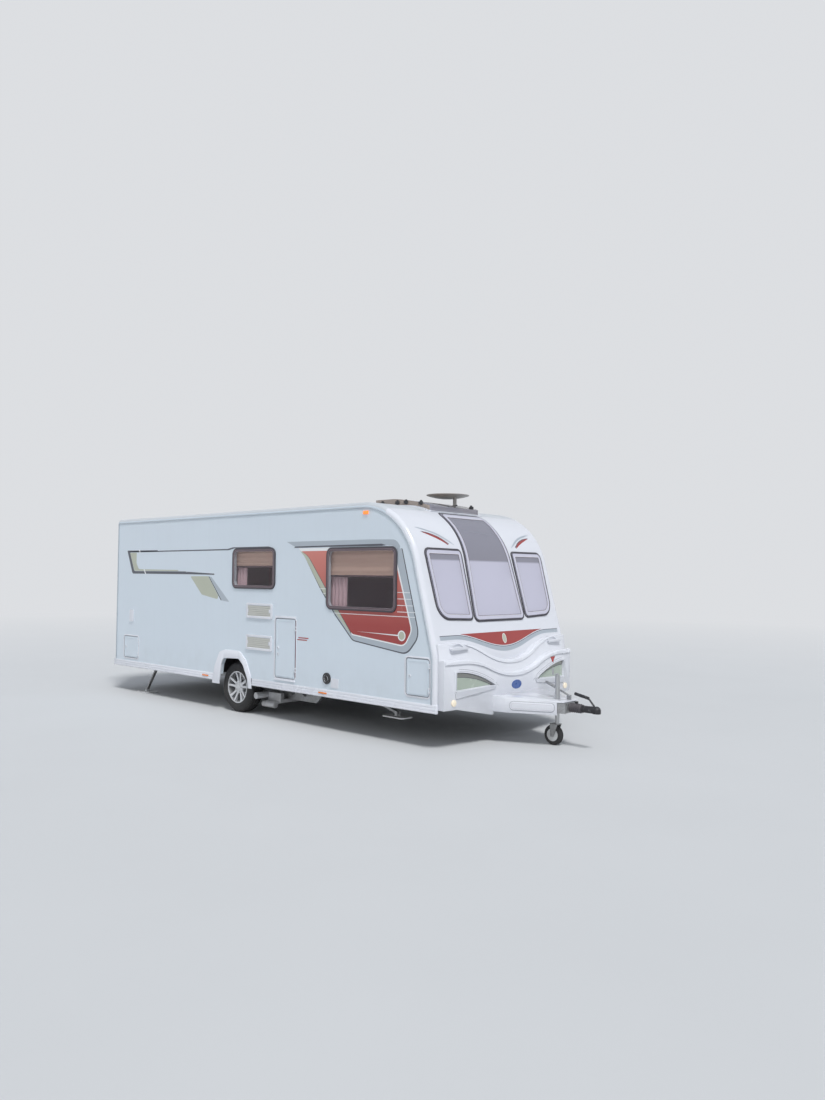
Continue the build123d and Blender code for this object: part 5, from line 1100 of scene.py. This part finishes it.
class CARAVAN_OT_lamps(bpy.types.Operator):
    """Gives the marker lamps their lenses and builds the rear clusters, reflectors and blank plate"""
    bl_idname = "caravan.lamps"
    bl_label = "Lamps"

    def execute(self, context):
        markers = refined("marker_lamps", 0.003)
        hand_over(markers, "marker_lamps_finished", "amber_lens")
        for material in ("lit_white", "lit_amber"):
            markers.data.materials.append(bpy.data.materials[material])
        for face in markers.data.polygons:
            face.material_index = 2 if face.center.z > 2 else 1 if face.center.x > along(5.9) else 0
        housing = refined("rear_lamps", 0.004)
        hand_over(housing, "rear_lamps_finished", "trim_gloss")
        high = [face for face in housing.data.polygons if face.center.z > 2]
        housing.data.materials.append(bpy.data.materials["red_lens"])
        for face in high:
            face.material_index = 1
        profile = [(0.0, -0.002), (0.058, -0.002), (0.060, 0.0016), (0.056, 0.0040), (0.046, 0.0046),
                   (0.043, 0.0034), (0.030, 0.0050), (0.027, 0.0040), (0.014, 0.0056), (0.0, 0.0058)]
        lens = lathe(profile, 48)
        lens.rotation_euler = (0, 0, math.pi / 2)
        settle(lens)
        lenses = (("tail", "red_lens", 1.085), ("signal", "amber_lens", 0.945), ("stop", "red_lens", 0.805),
                  ("reverse", "clear_lens", 0.695))
        for label, side in SIDES.items():
            for name, material, height in lenses:
                twin = copy_piece(lens, f"{name}_lens_{label}")
                size = 0.72 if name == "reverse" else 1.0
                twin.scale = (1, size, size)
                twin.location = (along(-0.024), side * 0.98, height)
                hand_over(twin, f"{name}_lens_{label}", material)
            triangle = flat_plate([rounded([(-0.075, 0, 0.012), (0.075, 0, 0.012), (0, 0.13, 0.012)])], 0.008)
            ease(triangle, 0.002, 2)
            face_rear(triangle, -0.003, side * 0.70, 0.655)
            hand_over(triangle, "reflector_" + label, "red_lens")
        bpy.data.objects.remove(lens)
        outline = rounded(oblong(-0.26, 0.26, 0, 0.111, 0.012))
        plate = flat_plate([outline], 0.003)
        face_rear(plate, -0.0012, 0, 0.70)
        hand_over(plate, "blank_plate", "plate_white")
        rim = flat_plate([widened(outline, 0.010), widened(outline, -0.004)], 0.007)
        ease(rim, 0.0015, 2)
        face_rear(rim, -0.0025, 0, 0.70)
        hand_over(rim, "plate_holder", "liner")
        for label, side in SIDES.items():
            lamp = block((0.026, 0.075, 0.030), (along(-0.012), side * 0.13, 0.842), 0.006)
            hand_over(lamp, "plate_lamp_" + label, "liner")
        return {"FINISHED"}


class CARAVAN_OT_rear_trim(bpy.types.Operator):
    """Lays the wave band and the beads on the rear panel and frames its corners"""
    bl_idname = "caravan.rear_trim"
    bl_label = "Rear trim"

    def execute(self, context):
        def crest(y):
            return 1.385 - 0.110 * bell(y, 0.80)

        corner = 0.09
        field = oblong(-1.03, 1.03, 1.46, 2.16, corner)
        pieces = (
            ("rear_wave", "silver_sticker", [between_lines(1.06, crest, lambda y: crest(y) - 0.036)], 0.0010),
            ("rear_wave_line", "charcoal_sticker",
             [between_lines(1.06, lambda y: crest(y) + 0.012, lambda y: crest(y) + 0.004)], 0.0010),
            ("rear_crescent", "front_red",
             [between_lines(0.62, lambda y: 1.3965, lambda y: min(1.396, crest(y) + 0.018))], 0.0012),
            ("rear_bead", "mould_gloss", frame_plate(field, 0.0, 0.016), 0.0050),
            # a grey line painted inside the raised bead as its shadow
            ("rear_bead_seam", "seam_grey", frame_plate(field, 0.0165, 0.019), 0.0010),
        )
        for name, material, outlines, proud in pieces:
            plate = flat_plate(outlines, proud + 0.002)
            if name == "rear_bead":
                ease(plate, 0.0035)
            face_rear(plate, -proud / 2 + 0.001, 0, 0)
            hand_over(plate, name, material)
        for label, side in SIDES.items():
            strip = flat_plate([rounded(oblong(-0.011, 0.011, 0.62, 2.33, 0.005))], 0.008)
            ease(strip, 0.003)
            face_rear(strip, -0.002, side * 1.092, 0)
            hand_over(strip, "rear_corner_strip_" + label, "rail_plastic")
        return {"FINISHED"}


# Profile of a lock ring: rows of (radius, reach out of the wall)
LOCK_RING = [(0.0112, -0.001), (0.0185, -0.001), (0.0185, 0.003), (0.0165, 0.0045), (0.0112, 0.0045)]


class CARAVAN_OT_door_trim(bpy.types.Operator):
    """Frames the doors in the walls, seals their gaps and adds lock rings, ledges, beading and a lever"""
    bl_idname = "caravan.door_trim"
    bl_label = "Door trim"

    def execute(self, context):
        for body in DOORS:
            side, rear, front, sill, head = DOORS[body]
            corner = 0.025
            door = oblong(rear, front, sill, head, corner)
            surround = side_plate(frame_plate(door, -0.026, -0.010), side, 0.0045, 0.004)
            ease(surround, 0.0018, 2)
            hand_over(surround, body + "_surround", "trim_gloss")
            seal = side_plate(frame_plate(door, -0.010, -0.004), side, 0.003, 0.0008)
            hand_over(seal, body + "_seal", "seam_grey")
            for k, height in enumerate(LOCKS[body]):
                station = rear + 0.042
                ring = lathe(LOCK_RING, 32)
                if side == OFFSIDE:
                    ring.rotation_euler = (math.pi, 0, 0)
                    settle(ring)
                ring.location = (along(station), side * HALF, height)
                hand_over(ring, f"{body}_lock_ring_{k + 1}", "hinge_plastic", body)
                place = (along(station), side * (HALF + 0.0062), height)
                slot = block((0.0035, 0.0016, 0.013), place, 0.0006)
                hand_over(slot, f"{body}_key_slot_{k + 1}", "liner", body)
        side, rear, front, sill, head = DOORS["gas_locker_door"]
        for name, box, material in (
            ("gas_locker_ledge", (rear - 0.012, front + 0.016, head + 0.010, head + 0.034), "skirt_gloss"),
            ("gas_locker_sill", (rear - 0.010, front + 0.012, sill - 0.034, sill - 0.012), "skirt_gloss"),
            ("gas_locker_edge", (front + 0.010, front + 0.019, sill + 0.02, head - 0.01), "reveal_maroon"),
        ):
            x0, x1, z0, z1 = box
            plate = side_plate([rounded(oblong(x0, x1, z0, z1, 0.004))],
                               side, 0.010, 0.006 if "edge" in name else 0.011)
            ease(plate, 0.003)
            hand_over(plate, name, material)
        side, rear = DOORS["entrance_door"][:2]
        for name, low, high in (("lower", 0.560, 1.060), ("upper", 1.985, 2.110)):
            panel = oblong(3.520, 3.990, low, high, 0.03)
            beading = side_plate(frame_plate(panel, 0.0, 0.012), side, 0.004, 0.003)
            ease(beading, 0.0018, 2)
            hand_over(beading, f"entrance_door_beading_{name}", "wall_paint", "entrance_door")
        lever = block((0.104, 0.0022, 0.020), (along(rear + 0.092), side * (HALF + 0.0136), 1.150), 0.0009)
        hand_over(lever, "entrance_door_lever", "hinge_plastic", "entrance_door")
        return {"FINISHED"}


# Fridge vents: the lower edge of each, the rear, front and height of both, the width of their frames,
# and the station and width of their catches
VENTS = {"high": 1.150, "low": 0.780}
VENT_REAR, VENT_FRONT, VENT_HEIGHT = 3.120, 3.590, 0.170
VENT_FRAME = 0.021
VENT_CATCHES = ((3.146, 0.014), (3.556, 0.034))


class CARAVAN_OT_fittings(bpy.types.Operator):
    """Gives the vents, flue and small covers of the walls their own finishes, frames the vents and adds their
    catches and the flue's ring
    """
    bl_idname = "caravan.fittings"
    bl_label = "Wall fittings"

    def execute(self, context):
        fittings = refined("wall_fittings", merge_flats=False)
        hand_over(fittings, "wall_fittings_finished", "trim_gloss")
        for material in ("vent_beige", "liner", "clear_lens"):
            fittings.data.materials.append(bpy.data.materials[material])
        for face in fittings.data.polygons:
            x, y, z = face.center
            x -= REAR_WALL
            in_vent = y < 0 and VENT_REAR + VENT_FRAME < x < VENT_FRONT - VENT_FRAME and any(
                low + VENT_FRAME < z < low + VENT_HEIGHT - VENT_FRAME for low in VENTS.values())
            flue = math.hypot(x - FLUE[0], z - FLUE[1])
            if in_vent:
                face.material_index = 1
            elif y < 0 and flue < 0.0595:
                face.material_index = 2 if flue > 0.041 or flue < 0.024 or y > -HALF - 0.010 else 0
            elif y > 0 and z > 2.2:
                face.material_index = 3
        for name, low in VENTS.items():
            outline = oblong(VENT_REAR, VENT_FRONT, low, low + VENT_HEIGHT, 0.012)
            frame_ring = side_plate(frame_plate(outline, -0.004, 0.018), OFFSIDE, 0.015, 0.0149)
            ease(frame_ring, 0.004)
            hand_over(frame_ring, f"vent_{name}_frame", "trim_gloss")
            for k, (station, wide) in enumerate(VENT_CATCHES):
                catch = block((wide, 0.006, 0.040), (along(station), -HALF - 0.0118, low + 0.085), 0.002)
                hand_over(catch, f"vent_{name}_catch_{k + 1}", "hinge_plastic")
        ring = lathe([(0.046, -0.002), (0.061, -0.002), (0.060, 0.006), (0.054, 0.009), (0.048, 0.006)], 48)
        ring.rotation_euler = (math.pi, 0, 0)
        ring.location = (along(FLUE[0]), -HALF - 0.0058, FLUE[1])
        hand_over(ring, "flue_ring", "cast_black")
        return {"FINISHED"}


# Rooflights: rear, front, half width and corner; their frames stop where the roof panel ends
ROOFLIGHTS = {"front": (4.52, 5.37, 0.43, 0.05), "middle": (2.70, 3.10, 0.20, 0.05)}
ROOF_END = 5.383
CATCH_STATIONS = (4.66, 4.89, 5.02, 5.24)


class CARAVAN_OT_roof(bpy.types.Operator):
    """Frames the rooflights and adds their catches, and finishes the dish"""
    bl_idname = "caravan.roof"
    bl_label = "Rooflights and dish"

    def execute(self, context):
        domes = refined("rooflights", 0.012)
        hand_over(domes, "rooflights_finished", "smoked_dome")
        domes.data.materials.append(bpy.data.materials["front_acrylic"])
        for face in domes.data.polygons:
            if face.center.x > along(5.05) and (face.normal.x > 0.6 or face.normal.z > 0.75):
                face.material_index = 1
        for name, (rear, front, half, corner) in ROOFLIGHTS.items():
            outline = rounded(oblong(rear, front, -half, half, corner))
            outer = [Vector((min(p.x, ROOF_END), p.y)) for p in widened(outline, 0.045)]
            frame_ring = roof_plate([outer, widened(outline, 0.001)], "roof_panel", 0.012, 0.016)
            ease(frame_ring, 0.004, 2)
            hand_over(frame_ring, name + "_rooflight_frame", "trim_gloss")
        catch = block((0.060, 0.016, 0.032), (0, 0, 0), 0.006)
        tongue = block((0.030, 0.010, 0.052), (0, 0.004, 0.004), 0.004)
        catch = join([catch, tongue])
        catches = []
        for station in CATCH_STATIONS:
            for side in (OFFSIDE, NEARSIDE):
                twin = copy_piece(catch, "catch")
                twin.location = (along(station), side * 0.437, 2.470 if station < 5.1 else 2.452)
                twin.scale.y = -side
                settle(twin)
                catches.append(twin)
        bpy.data.objects.remove(catch)
        catches = join(catches)
        tidy_mesh(catches)
        hand_over(catches, "rooflight_catches", "liner")
        dish = refined("satellite_dish", 0.003)
        hand_over(dish, "satellite_dish_finished", "dish_paint")
        return {"FINISHED"}


def folded_cloth(name, side, rear, front, low, high, depth, waves, amount, upright):
    """A cloth that hangs in folds behind a pane: its folds stand upright, or lie flat as on a blind."""
    bpy.ops.object.select_all(action="DESELECT")
    cells = max(24, int(waves * 12))
    size = (cells, 6) if upright else (2, cells)
    bpy.ops.mesh.primitive_grid_add(x_subdivisions=size[0], y_subdivisions=size[1], size=1,
                                    location=(0, 0, 0))
    obj = bpy.context.object
    obj.scale = (front - rear, high - low, 1)
    obj.rotation_euler = (math.pi / 2, 0, 0)
    obj.location = (along((rear + front) / 2), side * (HALF - depth), (low + high) / 2)
    settle(obj)
    for vertex in obj.data.vertices:
        drop = (high - vertex.co.z) / (high - low)
        if upright:
            share = (vertex.co.x - along(rear)) / (front - rear)
            swell = amount * (0.55 + 0.45 * drop)
            drift = 0.15 * math.sin(5 * share)
        else:
            share = (vertex.co.z - low) / (high - low)
            swell = amount
            drift = 0
        vertex.co.y += swell * math.sin(2 * math.pi * (waves * share + drift))
    obj.name = name
    return obj


# Cloth behind the panes: shares of the pane's width or height, and how far it hangs inside the wall's face
CURTAIN_SHARES = {"rear": 0.24, "front": 0.10}
CURTAIN_FOLD, CURTAIN_SWELL, CURTAIN_DEPTH = 0.045, 0.014, 0.075
BLIND_SHARE = 0.46
BLIND_FOLDS, BLIND_SWELL, BLIND_DEPTH = 4, 0.004, 0.050
CLOTH_LAP = 0.02
FRONT_BLIND_DEPTH = 0.070


class CARAVAN_OT_curtains(bpy.types.Operator):
    """Hangs curtains and half-drawn blinds behind the side panes, the blinds' peach a painted reflection of
    the warm sky, and blinds behind the front panes
    """
    bl_idname = "caravan.curtains"
    bl_label = "Curtains and blinds"

    def execute(self, context):
        for name, (side, rear, front, sill, head) in SIDE_PANES.items():
            width = front - rear
            low, high = sill - CLOTH_LAP, head + CLOTH_LAP
            spans = {"rear": (rear - CLOTH_LAP, rear + CURTAIN_SHARES["rear"] * width),
                     "front": (front - CURTAIN_SHARES["front"] * width, front + CLOTH_LAP)}
            for end, (x0, x1) in spans.items():
                folds = max(3, int((x1 - x0) / CURTAIN_FOLD))
                cloth = folded_cloth(f"{name}_curtain_{end}", side, x0, x1, low, high, CURTAIN_DEPTH, folds,
                                     CURTAIN_SWELL, True)
                hand_over(cloth, f"{name}_curtain_{end}", "curtain_cloth", smooth=80)
            # The half-drawn blind's peach colour is a painted reflection of the warm sky in the pane
            drop = BLIND_SHARE * (high - low)
            blind = folded_cloth(f"{name}_blind", side, rear - 0.01, front + 0.01, high - drop, high,
                                 BLIND_DEPTH, BLIND_FOLDS, BLIND_SWELL, False)
            hand_over(blind, f"{name}_blind", "warm_blind", smooth=80)
            middle = along((rear + front) / 2)
            bar = block((width + 0.01, 0.012, 0.022), (middle, side * (HALF - 0.048), high - drop), 0.004)
            hand_over(bar, f"{name}_blind_bar", "window_border")
        for name, outline, low, high in (
            ("front_centre", FRONT_CENTRE_PANE, 1.18, 1.83),
            ("front_nearside", FRONT_SIDE_PANE, 1.20, 1.99),
            ("front_offside", FRONT_SIDE_PANE, 1.20, 1.99),
        ):
            pane = inset(outline, 0.008)
            if name == "front_offside":
                pane = mirrored(pane)
            cloth = front_plate([[Vector((p.x, max(low, min(high, p.y)))) for p in pane]], "front_windows",
                                -0.001, 0, 0.04, 3.0)
            for vertex in cloth.data.vertices:
                vertex.co.x -= FRONT_BLIND_DEPTH
            hand_over(cloth, name + "_blind", "blind_cloth", smooth=80)
        return {"FINISHED"}


class CARAVAN_OT_shell(bpy.types.Operator):
    """Rounds the edges of the mouldings, skirts, trims and the other shell pieces"""
    bl_idname = "caravan.shell"
    bl_label = "Mouldings and skirts"

    def execute(self, context):
        edge = context.scene.caravan_sizes.edge
        for node, width, material, slot in (
            ("front_panel", 0.0, "mould_gloss", "mould_white"),
            ("roof_panel", 0.0, "roof_skin", "wall_white"),
            ("front_windows", 0.0, "front_acrylic", "window_tint"),
            ("front_moulding", edge, "mould_gloss", "mould_white"),
            ("rear_bumper", edge, "trim_gloss", "trim_white"),
            ("skirts", edge * 0.3, "skirt_gloss", "trim_white"),
            ("arch_trims", edge, "skirt_gloss", "trim_white"),
            ("drawbar_cover", edge * 0.7, "mould_gloss", "mould_white"),
            ("grab_handles", edge, "hinge_plastic", "trim_white"),
            ("awning_rails", edge * 0.5, "rail_plastic", "rail_white"),
            ("hinge_posts", edge * 0.25, "hinge_plastic", "hinge_white"),
            ("coupling_head", edge, "cast_black", "coupling_black"),
            ("drawbar_head", edge * 0.6, "zinc", "galvanised"),
            ("handbrake_lever", edge * 0.6, "zinc", "galvanised"),
            ("jockey_fork", edge * 0.5, "zinc", "galvanised"),
            ("jockey_rim", edge * 0.5, "foot_plastic", "alloy_silver"),
            ("jockey_tyre", edge, "tyre_rubber", "tyre_black"),
            ("movers", edge, "mover_metal", "mover_alloy"),
        ):
            obj = refined(node, width)
            hand_over(obj, node + "_finished", material, frame["nodes"][node]["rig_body"])
        return {"FINISHED"}


class CARAVAN_OT_tyres(bpy.types.Operator):
    """Turns the road tyres with their grooves, and cuts the blocks of their tread"""
    bl_idname = "caravan.tyres"
    bl_label = "Road tyres"

    def execute(self, context):
        s = context.scene.caravan_sizes
        half, tread, bead = 0.0975, 0.062, 0.086
        grooves = (-0.045, -0.016, 0.016, 0.045)
        width = 0.0045
        outer = 0.298
        profile = [(0.1910, -bead), (0.2040, -bead - 0.004), (0.2080, -0.0925), (0.2240, -0.0958),
                   (0.2265, -0.0972), (0.2290, -0.0962), (0.2460, -half), (0.2640, -0.0935),
                   (0.2760, -0.0870), (0.2835, -0.0800), (0.2900, -0.0735), (0.2945, -0.0680),
                   (outer - 0.0008, -tread)]
        for y in grooves:
            profile += [(outer, y - width), (outer - s.tread, y - width * 0.7),
                        (outer - s.tread, y + width * 0.7), (outer, y + width)]
        profile += [(r, -y) for r, y in profile[12::-1]]
        steps = s.tread_blocks * 3
        tyre = lathe(profile, steps)
        edit(tyre, "FACE")

        def in_slot(middle, normal):
            turn = math.degrees(math.atan2(middle.z, middle.x)) % (360 / s.tread_blocks)
            reach = math.hypot(middle.x, middle.z)
            return turn < 360 / steps and reach > 0.284 and abs(middle.y) > 0.050

        if not select_where(tyre, "faces", in_slot):
            raise RuntimeError("no faces for the tread's slots")
        bpy.ops.mesh.extrude_region_shrink_fatten(
            TRANSFORM_OT_shrink_fatten={"value": -s.tread * 0.55})
        done()
        for name, side in (("right", OFFSIDE), ("left", NEARSIDE)):
            twin = copy_piece(tyre, "tyre_" + name + "_finished")
            twin.location = (along(WHEEL_X), side * WHEEL_Y, WHEEL_Z)
            hand_over(twin, "tyre_" + name + "_finished", "tyre_rubber", "wheel_" + name,
                      smooth=40)
            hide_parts("tyre_" + name)
            rim = refined("rim_" + name, 0.0012)
            for vertex in rim.data.vertices:
                reach = Vector((vertex.co.x - along(WHEEL_X), vertex.co.z - WHEEL_Z))
                if reach.length < BORE_REACH:
                    away = reach.normalized() * BORE_PLAY
                    vertex.co.x += away.x
                    vertex.co.z += away.y
            hand_over(rim, "rim_" + name + "_finished", "alloy", "wheel_" + name)
            for material in ("steel_tube", "liner"):
                rim.data.materials.append(bpy.data.materials[material])
            for face in rim.data.polygons:
                x, y, z = face.center.x - along(WHEEL_X), abs(face.center.y), face.center.z - WHEEL_Z
                reach = math.hypot(x, z)
                turn = (math.degrees(math.atan2(z, x)) + 36) % 72 - 36
                off = math.hypot(reach - 0.056, reach * math.radians(turn))
                if y > 0.99 and off < 0.0095:
                    face.material_index = 1
                # Faces inboard of the spokes, between hub and barrel, are painted black as the shade between
                # the spokes
                elif y < WHEEL_Y and 0.08 < reach < 0.16:
                    face.material_index = 2
        bpy.data.objects.remove(tyre)
        return {"FINISHED"}


# The panel and the run

OPERATORS = (
    CARAVAN_OT_stage,
    CARAVAN_OT_finishes,
    CARAVAN_OT_shell,
    CARAVAN_OT_side_stickers,
    CARAVAN_OT_side_seals,
    CARAVAN_OT_front_seals,
    CARAVAN_OT_front_stickers,
    CARAVAN_OT_lamps,
    CARAVAN_OT_rear_trim,
    CARAVAN_OT_door_trim,
    CARAVAN_OT_fittings,
    CARAVAN_OT_roof,
    CARAVAN_OT_curtains,
    CARAVAN_OT_tyres,
)


class CARAVAN_PT_bench(bpy.types.Panel):
    """Lists the caravan's pieces and their sizes and colours"""
    bl_idname = "CARAVAN_PT_bench"
    bl_label = "Travel Caravan"
    bl_space_type = "VIEW_3D"
    bl_region_type = "UI"
    bl_category = "Caravan"

    def draw(self, context):
        column = self.layout.column(align=True)
        for operator in OPERATORS:
            column.operator(operator.bl_idname)
        for group in (context.scene.caravan_sizes, context.scene.caravan_colours):
            for name in group.__annotations__:
                self.layout.prop(group, name)


CLASSES = (CaravanSizes, CaravanColours, *OPERATORS, CARAVAN_PT_bench)


def register():
    for item in CLASSES:
        bpy.utils.register_class(item)
    bpy.types.Scene.caravan_sizes = PointerProperty(type=CaravanSizes)
    bpy.types.Scene.caravan_colours = PointerProperty(type=CaravanColours)


def unregister():
    del bpy.types.Scene.caravan_sizes
    del bpy.types.Scene.caravan_colours
    for item in reversed(CLASSES):
        bpy.utils.unregister_class(item)


def main():
    register()
    bpy.ops.caravan.stage()
    bpy.ops.caravan.finishes()
    bpy.ops.caravan.shell()
    bpy.ops.caravan.side_stickers()
    bpy.ops.caravan.side_seals()
    bpy.ops.caravan.front_seals()
    bpy.ops.caravan.front_stickers()
    bpy.ops.caravan.lamps()
    bpy.ops.caravan.rear_trim()
    bpy.ops.caravan.door_trim()
    bpy.ops.caravan.fittings()
    bpy.ops.caravan.roof()
    bpy.ops.caravan.curtains()
    bpy.ops.caravan.tyres()


if __name__ == "__main__":
    main()
